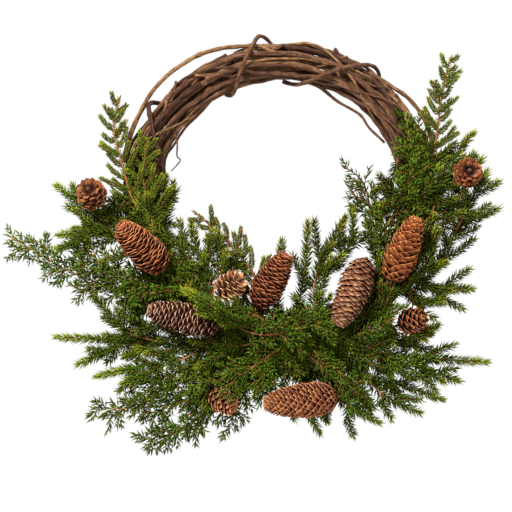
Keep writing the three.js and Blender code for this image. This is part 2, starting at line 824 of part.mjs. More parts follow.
// Positions are [x, z] from the ring's centre. A spray's root is [degrees round the
// ring, millimetres outside its middle circle]; its first twig is the main stem and
// the others leave that at a share of its length. "tip" is the planned depth at the tip.
const behindCones = [
  { name: 'frond_right', kind: frond, twigs: [
    { root: [3, 3], path: [[189, 47], [196, 91], [201, 128], [213, 175]], tip: 6 },
  ] },
  { name: 'spruce_right_upper', kind: spruce, twigs: [
    { root: [344, -1], path: [[187, -20], [199, 10], [222, 57], [239, 79]], tip: 8 },
    { share: 0.5, path: [[224, 25], [250, 47]], tip: -4 },
    { share: 0.25, path: [[214, -15], [227, 7]], tip: 24 },
  ] },
  { name: 'spruce_right_fork', kind: spruce, twigs: [
    { root: [325, 9], path: [[181, -99], [209, -58], [227, -35], [271, -14]], tip: 10 },
    { share: 0.6, path: [[228, -21], [241, 4], [256, 31]], tip: 22 },
  ] },
  { name: 'spruce_right_mid', kind: spruce, twigs: [
    { root: [316, 10], path: [[156, -114], [193, -112], [238, -113]], tip: 0 },
    { share: 0.3, path: [[168, -133], [201, -123]], tip: 14 },
  ] },
  { name: 'spruce_right_short', kind: spruce, twigs: [
    { root: [302, 10], path: [[137, -176], [164, -171], [196, -159]], tip: 8 },
  ] },
  { name: 'spruce_right_long', kind: spruce, twigs: [
    { root: [295, 9], path: [[119, -191], [187, -199], [256, -204]], tip: 2 },
    { share: 0.5, path: [[181, -212], [222, -227]], tip: 12 },
  ] },
  { name: 'spruce_low_right', kind: spruce, twigs: [
    { root: [288, 9], path: [[100, -220], [150, -232], [201, -250]], tip: 4 },
    { share: 0.45, path: [[131, -246], [173, -266]], tip: 16 },
  ] },
  { name: 'spruce_bottom_right', kind: spruce, twigs: [
    { root: [282, 9], path: [[63, -232], [90, -261], [122, -278]], tip: 0 },
  ] },
  { name: 'spruce_bottom', kind: spruce, twigs: [
    { root: [274, 9], path: [[28, -232], [37, -266], [49, -291]], tip: 0 },
  ] },
  { name: 'frond_left_outer', kind: frond, twigs: [
    { root: [187, 2], path: [[-184, 4], [-196, 47], [-205, 84], [-199, 125]], tip: 10 },
  ] },
  { name: 'spruce_left', kind: spruce, twigs: [
    { root: [200, 0], path: [[-209, -47], [-238, -43], [-271, -46]], tip: 2 },
    { share: 0.45, path: [[-233, -20], [-274, 14]], tip: 6 },
    { share: 0.4, path: [[-213, -27], [-218, -10]], tip: 20 },
  ] },
  { name: 'cypress_left_long', kind: cypress, twigs: [
    {
      root: [221, -3],
      path: [[-188, -118], [-223, -106], [-265, -89], [-302, -67], [-338, -46]],
      tip: 8,
    },
  ] },
  { name: 'cypress_left_short', kind: cypress, twigs: [
    { root: [210, 0], path: [[-193, -103], [-213, -84], [-238, -68], [-264, -56]], tip: 4 },
  ] },
  { name: 'spruce_left_inner', kind: spruce, twigs: [
    { root: [204, -10], path: [[-141, -30], [-132, 17]], tip: 4 },
  ] },
  { name: 'spruce_hole_left', kind: spruce, twigs: [
    { root: [241, -6], path: [[-89, -102], [-102, -65], [-109, -32]], tip: 10 },
    { share: 0.3, path: [[-74, -79], [-75, -46]], tip: 0 },
  ] },
  { name: 'spruce_behind_cone', kind: spruce, twigs: [
    { root: [269, -10], path: [[-2, -102], [3, -55]], tip: 0 },
  ] },
  { name: 'frond_centre', kind: frond, twigs: [
    { root: [262, -9], path: [[-27, -108], [-43, -79], [-66, -52], [-106, -17]], tip: 6 },
  ] },
  { name: 'spruce_hole_upright', kind: spruce, twigs: [
    { root: [276, -7], path: [[25, -127], [32, -83], [35, -32]], tip: 10 },
  ] },
  { name: 'spruce_hole_right', kind: spruce, twigs: [
    { root: [287, -10], path: [[42, -117], [53, -74], [81, -26]], tip: 6 },
    { share: 0.4, path: [[73, -79], [90, -50], [90, -14]], tip: 0 },
  ] },
  { name: 'cypress_right_inner', kind: cypress, twigs: [
    { root: [326, -8], path: [[126, -46], [112, -9], [102, 22], [81, 38]], tip: 12 },
  ] },
  { name: 'spruce_low_left', kind: spruce, twigs: [
    { root: [253, 8], path: [[-99, -191], [-142, -180], [-208, -176], [-275, -173]], tip: 4 },
    { share: 0.42, path: [[-186, -168], [-208, -149], [-227, -124]], tip: 18 },
    { share: 0.5, path: [[-204, -187], [-248, -206]], tip: 0 },
  ] },
  { name: 'spruce_low_pale', kind: spruce, twigs: [
    { root: [244, 11], path: [[-117, -199], [-161, -206], [-225, -221]], tip: 4 },
    { share: 0.5, path: [[-161, -217], [-193, -228]], tip: 18 },
  ] },
  { name: 'cypress_bottom_left', kind: cypress, twigs: [
    { root: [266, 8], path: [[-49, -251], [-92, -269], [-130, -291], [-173, -302]], tip: 0 },
  ] },
  { name: 'cypress_low_left', kind: cypress, twigs: [
    { root: [261, 8], path: [[-68, -236], [-117, -253], [-173, -261], [-232, -261]], tip: 6 },
  ] },
  { name: 'cypress_low_upper', kind: cypress, twigs: [
    { root: [257, 6], path: [[-68, -216], [-111, -233], [-148, -237], [-187, -233]], tip: 14 },
  ] },
];

// "heading" is the way the tip points, in degrees from the right; "tilt" lifts the tip
// towards the front. Scales rise from riseLow at the base to riseHigh at the tip.
const bigCone = { rows: 8, across: 7, thick: 3.4, point: 0.5, riseLow: 4, riseHigh: 48 };
const smallCone = { rows: 5, across: 5, thick: 3, point: 0.4, riseLow: 0, riseHigh: 50 };
const cones = [
  { ...bigCone, name: 'cone_left', middle: [-169, -61], heading: 134, tilt: 28,
    length: 84, width: 46, colour: 0x8a5a3a },
  { ...bigCone, name: 'cone_low_left', middle: [-118, -148], heading: 167, tilt: 6,
    length: 92, width: 43, colour: 0x5f4238 },
  { ...bigCone, name: 'cone_middle', middle: [-10, -102], heading: 60, tilt: 14,
    length: 76, width: 44, colour: 0x6d4632 },
  { ...bigCone, name: 'cone_right_low', middle: [89, -117], heading: 247, tilt: 4,
    length: 90, width: 46, colour: 0xa67a64 },
  { ...bigCone, name: 'cone_right', middle: [152, -64], heading: 68, tilt: 12,
    length: 86, width: 44, colour: 0xb07a50 },
  { ...bigCone, name: 'cone_bottom', middle: [25, -250], heading: 185, tilt: 4,
    length: 92, width: 47, colour: 0xb98059, riseLow: -14, riseHigh: 30,
    root: [278, 16], stalk: [[62, -220], [78, -240]] },
  { ...smallCone, name: 'cone_small_middle', middle: [-61, -110], heading: 40, tilt: 30,
    length: 40, width: 40, colour: 0xb58a63, root: [238, -4], stalk: [[-84, -134]] },
  { ...smallCone, name: 'cone_small_bottom', middle: [-70, -251], heading: 330, tilt: 20,
    length: 38, width: 32, colour: 0xa8734a, root: [256, 18], stalk: [[-62, -215]] },
  { ...smallCone, name: 'cone_small_low_right', middle: [164, -152], heading: 20, tilt: 25,
    length: 38, width: 36, colour: 0x85573a, root: [303, 8], stalk: [[118, -165]] },
  { ...smallCone, name: 'cone_small_left', middle: [-231, 4], heading: 120, tilt: 62,
    length: 36, width: 40, colour: 0x7d5238, root: [197, 6], stalk: [[-208, -44], [-217, -14]] },
  { ...smallCone, name: 'cone_small_right', middle: [230, 30], heading: 60, tilt: 78,
    length: 34, width: 38, colour: 0x7a4c36, root: [3, 8], stalk: [[206, 32]] },
];

const overCones = [
  { name: 'spruce_ring_left', kind: spruce, twigs: [
    { root: [232, -16], path: [[-112, -76], [-136, -53], [-160, -30]], tip: 24 },
  ] },
  { name: 'frond_left_inner', kind: frond, twigs: [
    { root: [200, -4], path: [[-158, -9], [-169, 22], [-163, 74]], tip: 26 },
  ] },
  { name: 'cypress_left_front', kind: cypress, twigs: [
    { root: [236, -9], path: [[-111, -109], [-148, -104], [-196, -97]], tip: 30 },
  ] },
  { name: 'spruce_centre_low', kind: spruce, twigs: [
    { root: [263, 6], path: [[-49, -183], [-80, -180], [-107, -176]], tip: 30 },
  ] },
  { name: 'spruce_front_left', kind: spruce, twigs: [
    { root: [269, 3], path: [[-22, -149], [-55, -137], [-84, -130], [-112, -117]], tip: 50 },
  ] },
  { name: 'cypress_centre_left', kind: cypress, twigs: [
    { root: [271, 12], path: [[-22, -201], [-55, -221], [-105, -231]], tip: 40 },
  ] },
  { name: 'cypress_centre', kind: cypress, twigs: [
    { root: [252, -4], path: [[-22, -169], [25, -160], [73, -151]], tip: 50 },
  ] },
  { name: 'cypress_bottom_front', kind: cypress, twigs: [
    { root: [280, 8], path: [[48, -209], [81, -235], [117, -261]], tip: 24 },
  ] },
  { name: 'cypress_centre_right', kind: cypress, twigs: [
    { root: [279, 4], path: [[63, -183], [100, -184], [143, -199], [181, -225]], tip: 22 },
  ] },
  { name: 'cypress_right_top', kind: cypress, twigs: [
    { root: [331, -11], path: [[130, -42], [152, -2], [164, 47], [155, 102]], tip: 26 },
  ] },
];

behindCones.forEach(laySpray);
cones.forEach((cone) => layCone({ depth: 20, ...cone }));
overCones.forEach(laySpray);

const greens = new Map([[spruce, spruceGreen], [frond, frondGreen], [cypress, cypressGreen]]);
for (const spray of [...behindCones, ...overCones]) {
  const own = stems.filter((stem) => stem.owner === spray.name);
  const roots = own.slice(1).map((stem) => stem.points[0]);
  const pieces = own.map((stem, index) => needledStem(stem, index + spray.name.length, roots));
  place(spray.name, join(pieces), greens.get(spray.kind), 0.85);
}

export default group;
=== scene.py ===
import math

import bpy
import numpy as np
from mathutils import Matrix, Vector


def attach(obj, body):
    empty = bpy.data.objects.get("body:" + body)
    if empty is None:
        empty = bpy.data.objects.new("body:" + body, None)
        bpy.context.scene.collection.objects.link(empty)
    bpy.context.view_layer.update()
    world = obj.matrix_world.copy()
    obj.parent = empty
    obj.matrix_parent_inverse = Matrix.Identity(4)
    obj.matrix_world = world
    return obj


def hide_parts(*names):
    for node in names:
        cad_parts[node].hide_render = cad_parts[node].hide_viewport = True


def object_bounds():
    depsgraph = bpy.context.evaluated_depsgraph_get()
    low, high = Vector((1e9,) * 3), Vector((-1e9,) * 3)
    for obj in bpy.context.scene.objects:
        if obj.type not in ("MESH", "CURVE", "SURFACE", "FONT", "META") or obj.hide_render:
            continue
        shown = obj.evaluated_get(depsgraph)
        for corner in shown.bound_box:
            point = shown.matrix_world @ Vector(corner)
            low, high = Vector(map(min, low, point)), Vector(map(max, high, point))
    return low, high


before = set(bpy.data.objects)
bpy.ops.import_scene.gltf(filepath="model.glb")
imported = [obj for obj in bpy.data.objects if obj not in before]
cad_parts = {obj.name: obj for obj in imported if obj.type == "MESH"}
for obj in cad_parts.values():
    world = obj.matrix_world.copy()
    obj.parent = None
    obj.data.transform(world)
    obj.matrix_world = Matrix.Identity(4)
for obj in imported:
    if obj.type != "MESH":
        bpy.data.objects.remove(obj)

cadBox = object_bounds()

# A willow wreath with evergreen sprays and pine cones. Lengths are millimetres from the
# ring's middle, front towards -y, and inFrame turns them into metres from the point that
# the wreath hangs by. The multipliers of number and seed further down only keep pieces
# from looking alike.
ring = {"radius": 171.0, "steps": 22, "hangX": -2.5, "hangZ": 147.0}
toFrame = np.array([-ring["hangX"], 0.0, -ring["hangZ"]])
degrees = math.pi / 180
goldenTurn = 137.508 * degrees


def inFrame(points):
    return (points + toFrame) / 1000


def scatter(n):
    # A number from 0 to 1 that looks random and is the same each run.
    value = math.sin(n * 12.9898 + 4.137) * 43758.5453
    return value - math.floor(value)


def mix(low, high, share):
    return low + (high - low) * share


def unit(v):
    v = np.asarray(v, float)
    return v / np.maximum(np.linalg.norm(v, axis=-1, keepdims=True), 1e-12)


def turned(direction, turn):
    # x and z of a direction turned in the wreath's own plane.
    x, z = direction[0], direction[2]
    return x * math.cos(turn) - z * math.sin(turn), x * math.sin(turn) + z * math.cos(turn)


view = {"lens": 150.0, "sensor": 36.0, "distance": 2.66, "aim": (-0.0267, -0.219)}  # x and z


def makeCamera():
    data = bpy.data.cameras.new("wreathCamera")
    data.lens = view["lens"]
    data.sensor_width = view["sensor"]
    camera = bpy.data.objects.new("wreathCamera", data)
    bpy.context.collection.objects.link(camera)
    x, z = view["aim"]
    camera.location = (x, -view["distance"], z)
    camera.rotation_euler = (math.pi / 2, 0, 0)
    bpy.context.scene.camera = camera
    bpy.context.scene.view_settings.view_transform = "Standard"


makeCamera()
print("camera set")


class SmoothLine:
    # A smooth line through corners; "even" spaces its speed by the corners' distances.
    samples = 201
    nudge = 1e-4     # how far to either side a tangent looks, as a share

    def __init__(self, corners, even=False):
        self.corners = np.array(corners, float)
        self.even = even
        self.spots = np.linspace(0, 1, self.samples)
        steps = np.linalg.norm(np.diff(self.at(self.spots), axis=0), axis=1)
        self.lengths = np.concatenate([[0], np.cumsum(steps)])
        self.length = self.lengths[-1]

    def at(self, t):
        p = self.corners
        place = (len(p) - 1) * np.atleast_1d(np.asarray(t, float))
        i = np.minimum(np.floor(place).astype(int), len(p) - 2)
        w = (place - i)[:, None]
        padded = np.vstack([2 * p[0] - p[1], p, 2 * p[-1] - p[-2]])
        a, b, c, d = padded[i], padded[i + 1], padded[i + 2], padded[i + 3]
        if self.even:
            def root(u, v):
                return np.maximum(((u - v) ** 2).sum(1, keepdims=True) ** 0.25, 1e-4)
            s, m, e = root(a, b), root(b, c), root(c, d)
            into = ((b - a) / s - (c - a) / (s + m) + (c - b) / m) * m
            out = ((c - b) / m - (d - b) / (m + e) + (d - c) / e) * m
        else:
            into = 0.5 * (c - a)
            out = 0.5 * (d - b)
        return (b + into * w + (-3 * b + 3 * c - 2 * into - out) * w ** 2
                + (2 * b - 2 * c + into + out) * w ** 3)

    def share(self, u):
        return np.interp(np.asarray(u, float) * self.length, self.lengths, self.spots)

    def atShare(self, u):
        return self.at(self.share(u))

    def tangent(self, u):
        t = np.atleast_1d(self.share(u))
        low = np.maximum(t - self.nudge, 0)
        high = np.minimum(t + self.nudge, 1)
        return unit(self.at(high) - self.at(low))

    def spaced(self, count):
        return self.atShare(np.linspace(0, 1, count + 1))


def subdivide(points, parts):
    points = np.asarray(points, float)
    shares = (np.arange(parts) / parts)[None, :, None]
    inner = points[:-1, None] + (points[1:] - points[:-1])[:, None] * shares
    return np.vstack([inner.reshape(-1, 3), points[-1:]])


def stepsIn(length, step):
    return max(2, math.floor(length / step + 0.5))


def planLine(plan, step):
    line = SmoothLine([(x, 0, z) for x, z in plan])
    return line.spaced(stepsIn(line.length, step))


laid = {   # how pieces are laid over each other, and how finely each is divided for it
    "clearance": 0.15, "rootDepth": 10.0, "rounds": 6,
    "ballsPerStep": 8, "bundleParts": 12, "freeParts": 6,
}


class Balls:
    # What is laid so far, as balls: x, depth towards the front, z, radius and owner.
    def __init__(self):
        self.rows = np.empty((0, 5))
        self.owners = {}

    def number(self, name):
        return self.owners.setdefault(name, len(self.owners))

    def add(self, points, radii, name):
        rows = np.empty((len(points), 5))
        rows[:, :3] = np.asarray(points, float) * (1, -1, 1)
        rows[:, 3] = radii
        rows[:, 4] = self.number(name)
        self.rows = np.vstack([self.rows, rows])

    def of(self, names):
        return self.rows[np.isin(self.rows[:, 4], [self.owners[name] for name in names])]

    def freeDepth(self, x, z, radius, start, name):
        # The first depth from start forwards at which a ball is clear of the other pieces.
        reach = radius + self.rows[:, 3] + laid["clearance"]
        left = reach ** 2 - (x - self.rows[:, 0]) ** 2 - (z - self.rows[:, 2]) ** 2
        near = (left > 0) & (self.rows[:, 4] != self.number(name))
        if not near.any():
            return start
        half = np.sqrt(left[near])
        low = self.rows[near, 1] - half
        high = self.rows[near, 1] + half
        depth = start
        for k in np.argsort(low, kind="stable"):
            if low[k] < depth < high[k]:
                depth = high[k]
        return depth


balls = Balls()


def lay(line, radius, fromDepth, tipDepth, name, slope):
    # Lays a stem over what is already there, no steeper than slope.
    parts = laid["ballsPerStep"]
    fine = subdivide(line, parts)
    number = np.arange(len(fine))
    spacing = np.linalg.norm(fine[0] - fine[1])
    depths = mix(fromDepth, tipDepth, number / number[-1])
    apart = np.abs(np.subtract.outer(number, number))
    drop = np.maximum(0, apart - parts + 1) * spacing * slope
    for _ in range(laid["rounds"]):
        free = np.array([balls.freeDepth(p[0], p[2], radius, depth, name)
                         for p, depth in zip(fine, depths)])
        depths = np.maximum(free, (free[None, :] - drop).max(axis=1))
    points = np.array(line, float)
    points[:, 1] = -depths[::parts]
    return points


bundle = {   # two layers of vines, each wound round the bundle by its drift
    "inner": {"radius": 5.1, "reach": 9.0, "slots": 5, "drift": 1, "taper": 0.95,
              "turns": (0, 2.6, 5)},
    "outer": {"radius": 4.3, "reach": 18.55, "slots": 8, "drift": -5, "taper": 0.86,
              "turns": (0, 2.07, 3.93, 6.04, 8)},
    "start": 1.9, "endGap": 0.004,                    # an angle, and a share of a turn
    "sway": 2.2, "swayFrom": 0.6, "ripple": 1.5,
    "freeTaper": 0.25, "freeSamples": 61,
}


def inBundle(angle, reach, phase):
    # A point beside the bundle's own middle line, at a phase round it.
    angle, reach, phase = np.broadcast_arrays(angle, reach, phase)
    sway = bundle["sway"] * np.sin(2 * angle + bundle["swayFrom"])
    radius = ring["radius"] + sway + reach * np.cos(phase)
    depth = -reach * np.sin(phase) + bundle["ripple"] * np.sin(3 * angle)
    return np.stack([radius * np.cos(angle), depth, radius * np.sin(angle)], axis=-1)


def bundleRoute(layer, turns):
    phase = turns * layer["drift"] * 2 * math.pi / layer["slots"]
    return inBundle(turns * 2 * math.pi + bundle["start"], layer["reach"], phase)


def layBundleVine(name, layer, fromTurn, toTurn):
    step, gap = 1 / ring["steps"], bundle["endGap"]
    marks = np.arange(math.floor(fromTurn / step) + 1, math.ceil(toTurn / step) + 1) * step
    marks = marks[(marks > fromTurn + 2 * gap) & (marks < toTurn - 2 * gap)]
    turns = np.concatenate([[fromTurn + gap], marks, [toTurn - gap]])
    points = subdivide(bundleRoute(layer, turns), laid["bundleParts"])
    shares = np.linspace(0, 1, len(points))
    balls.add(points, layer["radius"] * mix(1, layer["taper"], shares), name)


wrap = 27.0      # how far from the bundle's middle the binding and loose vines run
freeVines = {    # stations of angle, phase and reach, then radius and step
    "vine_wrap_top": (
        ((117, 215, wrap), (114, 170, wrap), (108, 110, wrap), (101, 50, wrap + 1),
         (97, 8, wrap + 7), (92, -40, wrap)), 3.2, 9.5),
    "vine_wrap_left": (
        ((141, -45, wrap), (144, 5, wrap + 3), (150, 60, wrap), (160, 120, wrap),
         (171, 175, wrap + 0.5), (174, 215, wrap)), 3.2, 9.5),
    "vine_wrap_right": (
        ((88, 205, wrap - 0.8), (80, 165, wrap + 1), (70, 110, wrap - 0.8),
         (60, 50, wrap - 0.8), (54, 5, wrap + 3), (49, -45, wrap)), 3.2, 9.5),
    "vine_loose_left": (
        ((167, 12, wrap), (152, 8, wrap + 6), (137, 10, wrap + 11), (120, 8, wrap + 9),
         (106, 14, wrap + 1)), 3.4, 15),
    "vine_loose_right": (
        ((46, 20, wrap - 2.4), (37, 8, wrap + 4), (27, 10, wrap + 5),
         (12, 10, wrap - 2.4)), 3.2, 14),
    "vine_loose_inner": (
        ((69, 188, wrap - 2), (58, 184, wrap + 4), (46, 182, wrap + 1),
         (38, 180, wrap + 4), (28, 184, wrap - 2)), 2.4, 15),
}


def freeRoute(stations):
    spots = SmoothLine(stations).at(np.linspace(0, 1, bundle["freeSamples"]))
    return SmoothLine(inBundle(spots[:, 0] * degrees, spots[:, 2], spots[:, 1] * degrees))


def layFreeVine(name, stations, radius, step):
    line = freeRoute(stations)
    points = subdivide(line.spaced(stepsIn(line.length, step)), laid["freeParts"])
    shares = np.linspace(0, 1, len(points))
    balls.add(points, radius * (1 - bundle["freeTaper"] * shares), name)


bundleVines = []     # name, layer, and the turns between which each runs
for key in ("inner", "outer"):
    turns = bundle[key]["turns"]
    for i, (fromTurn, toTurn) in enumerate(zip(turns, turns[1:])):
        bundleVines.append((f"vine_{key}_{i + 1}", bundle[key], fromTurn, toTurn))
for vine in bundleVines:
    layBundleVine(*vine)
for name, vine in freeVines.items():
    layFreeVine(name, *vine)
print("vines planned")


kinds = {   # a stem's radii, the step between its points, and how its side twigs leave it
    "spruce": {"radius": 1.7, "tipRadius": 1.1, "step": 17.5},
    "frond": {"radius": 1.6, "tipRadius": 1.0, "step": 17, "every": 24, "sideLength": 42,
              "spread": 40},
    "cypress": {"radius": 1.5, "tipRadius": 0.9, "step": 18, "every": 26, "sideLength": 42,
                "spread": 33},
}
settled = {   # how far a piece settles back between what it rests on
    "cone_left": 3.6, "cone_low_left": 2.4, "cone_middle": 2.1, "cone_right": 2.4,
    "cone_right_low": 2.0, "cone_small_bottom": 1.3, "cone_small_middle": 9.7,
    "cone_small_right": 0.6, "cypress_centre": 8.6, "cypress_centre_left": 7.1,
    "cypress_centre_right": 0.5, "cypress_left_front": 1.0, "frond_left_inner": 0.2,
    "frond_left_outer": -0.7, "spruce_front_left": 4.25, "spruce_left": -2.4,
    "spruce_low_pale": -0.4, "spruce_right_long": 0.3, "spruce_right_short": 0.5,
}

# A spray's twigs: where each starts, how far forward its tip lies, and its way as x and z.
# The first starts on the ring, at an angle and so far out; the others at a share of it.
behindCones = {
    "frond_right": [((3, 3), 6, (189, 47), (196, 91), (201, 128), (213, 175))],
    "spruce_right_upper": [((344, -1), 8, (187, -20), (199, 10), (222, 57), (239, 79)),
                           (0.5, -4, (224, 25), (250, 47)),
                           (0.25, 24, (214, -15), (227, 7))],
    "spruce_right_fork": [((325, 9), 10, (181, -99), (209, -58), (227, -35), (271, -14)),
                          (0.6, 22, (228, -21), (241, 4), (256, 31))],
    "spruce_right_mid": [((316, 10), 0, (156, -114), (193, -112), (238, -113)),
                         (0.3, 14, (168, -133), (201, -123))],
    "spruce_right_short": [((302, 10), 8, (137, -176), (164, -171), (196, -159))],
    "spruce_right_long": [((295, 9), 2, (119, -191), (187, -199), (256, -204)),
                          (0.5, 12, (181, -212), (222, -227))],
    "spruce_low_right": [((288, 9), 4, (100, -220), (150, -232), (201, -250)),
                         (0.45, 16, (131, -246), (173, -266))],
    "spruce_bottom_right": [((282, 9), 0, (63, -232), (90, -261), (122, -278))],
    "spruce_bottom": [((274, 9), 0, (28, -232), (37, -266), (49, -291))],
    "frond_left_outer": [((187, 2), 10, (-184, 4), (-196, 47), (-205, 84), (-199, 125))],
    "spruce_left": [((200, 0), 2, (-209, -47), (-238, -43), (-271, -46)),
                    (0.45, 6, (-233, -20), (-274, 14)),
                    (0.4, 20, (-213, -27), (-218, -10))],
    "cypress_left_long": [((221, -3), 8, (-188, -118), (-223, -106), (-265, -89),
                           (-302, -67), (-338, -46))],
    "cypress_left_short": [((210, 0), 4, (-193, -103), (-213, -84), (-238, -68),
                            (-264, -56))],
    "spruce_left_inner": [((204, -10), 4, (-141, -30), (-132, 17))],
    "spruce_hole_left": [((241, -6), 10, (-89, -102), (-102, -65), (-109, -32)),
                         (0.3, 0, (-74, -79), (-75, -46))],
    "spruce_behind_cone": [((269, -10), 0, (-2, -102), (3, -55))],
    "frond_centre": [((262, -9), 6, (-27, -108), (-43, -79), (-66, -52), (-106, -17))],
    "spruce_hole_upright": [((276, -7), 10, (25, -127), (32, -83), (35, -32))],
    "spruce_hole_right": [((287, -10), 6, (42, -117), (53, -74), (81, -26)),
                          (0.4, 0, (73, -79), (90, -50), (90, -14))],
    "cypress_right_inner": [((326, -8), 12, (126, -46), (112, -9), (102, 22), (81, 38))],
    "spruce_low_left": [((253, 8), 4, (-99, -191), (-142, -180), (-208, -176), (-275, -173)),
                        (0.42, 18, (-186, -168), (-208, -149), (-227, -124)),
                        (0.5, 0, (-204, -187), (-248, -206))],
    "spruce_low_pale": [((244, 11), 4, (-117, -199), (-161, -206), (-225, -221)),
                        (0.5, 18, (-161, -217), (-193, -228))],
    "cypress_bottom_left": [((266, 8), 0, (-49, -251), (-92, -269), (-130, -291),
                             (-173, -302))],
    "cypress_low_left": [((261, 8), 6, (-68, -236), (-117, -253), (-173, -261),
                          (-232, -261))],
    "cypress_low_upper": [((257, 6), 14, (-68, -216), (-111, -233), (-148, -237),
                           (-187, -233))],
}
overCones = {
    "spruce_ring_left": [((232, -16), 24, (-112, -76), (-136, -53), (-160, -30))],
    "frond_left_inner": [((200, -4), 26, (-158, -9), (-169, 22), (-163, 74))],
    "cypress_left_front": [((236, -9), 30, (-111, -109), (-148, -104), (-196, -97))],
    "spruce_centre_low": [((263, 6), 30, (-49, -183), (-80, -180), (-107, -176))],
    "spruce_front_left": [((269, 3), 50, (-22, -149), (-55, -137), (-84, -130),
                           (-112, -117))],
    "cypress_centre_left": [((271, 12), 40, (-22, -201), (-55, -221), (-105, -231))],
    "cypress_centre": [((252, -4), 50, (-22, -169), (25, -160), (73, -151))],
    "cypress_bottom_front": [((280, 8), 24, (48, -209), (81, -235), (117, -261))],
    "cypress_centre_right": [((279, 4), 22, (63, -183), (100, -184), (143, -199),
                              (181, -225))],
    "cypress_right_top": [((331, -11), 26, (130, -42), (152, -2), (164, 47), (155, 102))],
}

bigCone = {"point": 0.5, "shape": "open", "slot": "cone_brown"}
smallCone = {"point": 0.4, "shape": "small", "slot": "cone_brown"}
cones = {   # middle as x and z, heading in the wreath's plane, tilt towards the front
    "cone_left": {**bigCone, "middle": (-169, -61), "heading": 134, "tilt": 28,
                  "length": 84, "width": 46},
    "cone_low_left": {**bigCone, "middle": (-118, -148), "heading": 167, "tilt": 6,
                      "length": 92, "width": 43, "slot": "cone_dark"},
    "cone_middle": {**bigCone, "middle": (-10, -102), "heading": 60, "tilt": 14,
                    "length": 76, "width": 44, "slot": "cone_dark"},
    "cone_right_low": {**bigCone, "middle": (89, -117), "heading": 247, "tilt": 4,
                       "length": 90, "width": 46, "slot": "cone_pale"},
    "cone_right": {**bigCone, "middle": (152, -64), "heading": 68, "tilt": 12,
                   "length": 86, "width": 44, "shape": "broad", "slot": "cone_orange"},
    "cone_bottom": {**bigCone, "middle": (25, -250), "heading": 185, "tilt": 4,
                    "length": 92, "width": 47, "shape": "droop", "slot": "cone_orange",
                    "root": (278, 16), "stalk": ((62, -220), (78, -240))},
    "cone_small_middle": {**smallCone, "middle": (-61, -110), "heading": 40, "tilt": 30,
                          "length": 40, "width": 40, "slot": "cone_pale",
                          "root": (238, -4), "stalk": ((-84, -134),)},
    "cone_small_bottom": {**smallCone, "middle": (-70, -251), "heading": 330, "tilt": 20,
                          "length": 38, "width": 32, "shape": "smallSide",
                          "slot": "cone_orange", "root": (256, 18), "stalk": ((-62, -215),)},
    "cone_small_low_right": {**smallCone, "middle": (164, -152), "heading": 20, "tilt": 25,
                             "length": 38, "width": 36, "shape": "smallSide",
                             "root": (303, 8), "stalk": ((118, -165),)},
    "cone_small_left": {**smallCone, "middle": (-231, 4), "heading": 120, "tilt": 62,
                        "length": 36, "width": 40,
                        "root": (197, 6), "stalk": ((-208, -44), (-217, -14))},
    "cone_small_right": {**smallCone, "middle": (230, 30), "heading": 60, "tilt": 78,
                         "length": 34, "width": 38,
                         "root": (3, 8), "stalk": ((206, 32),)},
}
coneForm = {   # a cone's own outline, and how it is laid with its stalk
    "baseShare": 0.72, "widen": 1.1, "pointPower": 2.4,
    "step": 4, "skin": 0.4, "fromBase": 0.7, "fromTip": 0.75, "over": 1.03,
    "start": 20.0, "rounds": 8,
    "stalkRadius": 1.8, "stalkPress": 0.6, "stalkStep": 9, "stalkSlope": 1.6,
    "stalkSink": 3, "stalkIn": 5,
}
sideRule = {   # where side twigs leave a stem, and what is tried until one is clear
    "span": 0.86, "from": 0.14, "along": 0.84, "swing": 8, "shorten": 0.55,
    "lead": 0.4, "tail": 0.6, "vary": (0.85, 1.15), "step": 0.9, "gap": 0.6, "against": 3,
    "slantAndCut": ((0.12, 1), (0.35, 1), (-0.15, 1), (0.6, 1), (-0.4, 1), (0.9, 1),
                    (0.2, 0.6), (0.6, 0.6), (-0.3, 0.6)),
}
stemLaying = {"slope": 0.75, "sink": 0.85, "ball": 0.9}
coneSeats = {}     # base, axis and the stalk's points of each cone
stems = []


def onRing(angle, out):
    reach = ring["radius"] + out
    return reach * math.cos(angle * degrees), reach * math.sin(angle * degrees)


def coneReach(cone, share):
    # Half the width of a cone at a share of its length.
    share = np.asarray(share, float)
    widening = np.minimum(1, coneForm["baseShare"] + share * coneForm["widen"])
    return cone["width"] / 2 * widening * (1 - cone["point"] * share ** coneForm["pointPower"])


def fillCone(cone, base, axis):
    # The balls that fill a cone, kept back from its two ends.
    length = cone["length"]
    count = math.ceil(length / coneForm["step"])
    points, radii = [], []
    for i in range(count + 1):
        radius = float(coneReach(cone, i / count))
        low = radius * coneForm["fromBase"]
        high = length * coneForm["over"] - radius * coneForm["fromTip"]
        along = min(max(i / count * length, low), high)
        points.append(base + axis * along)
        radii.append(radius + coneForm["skin"])
    return points, radii


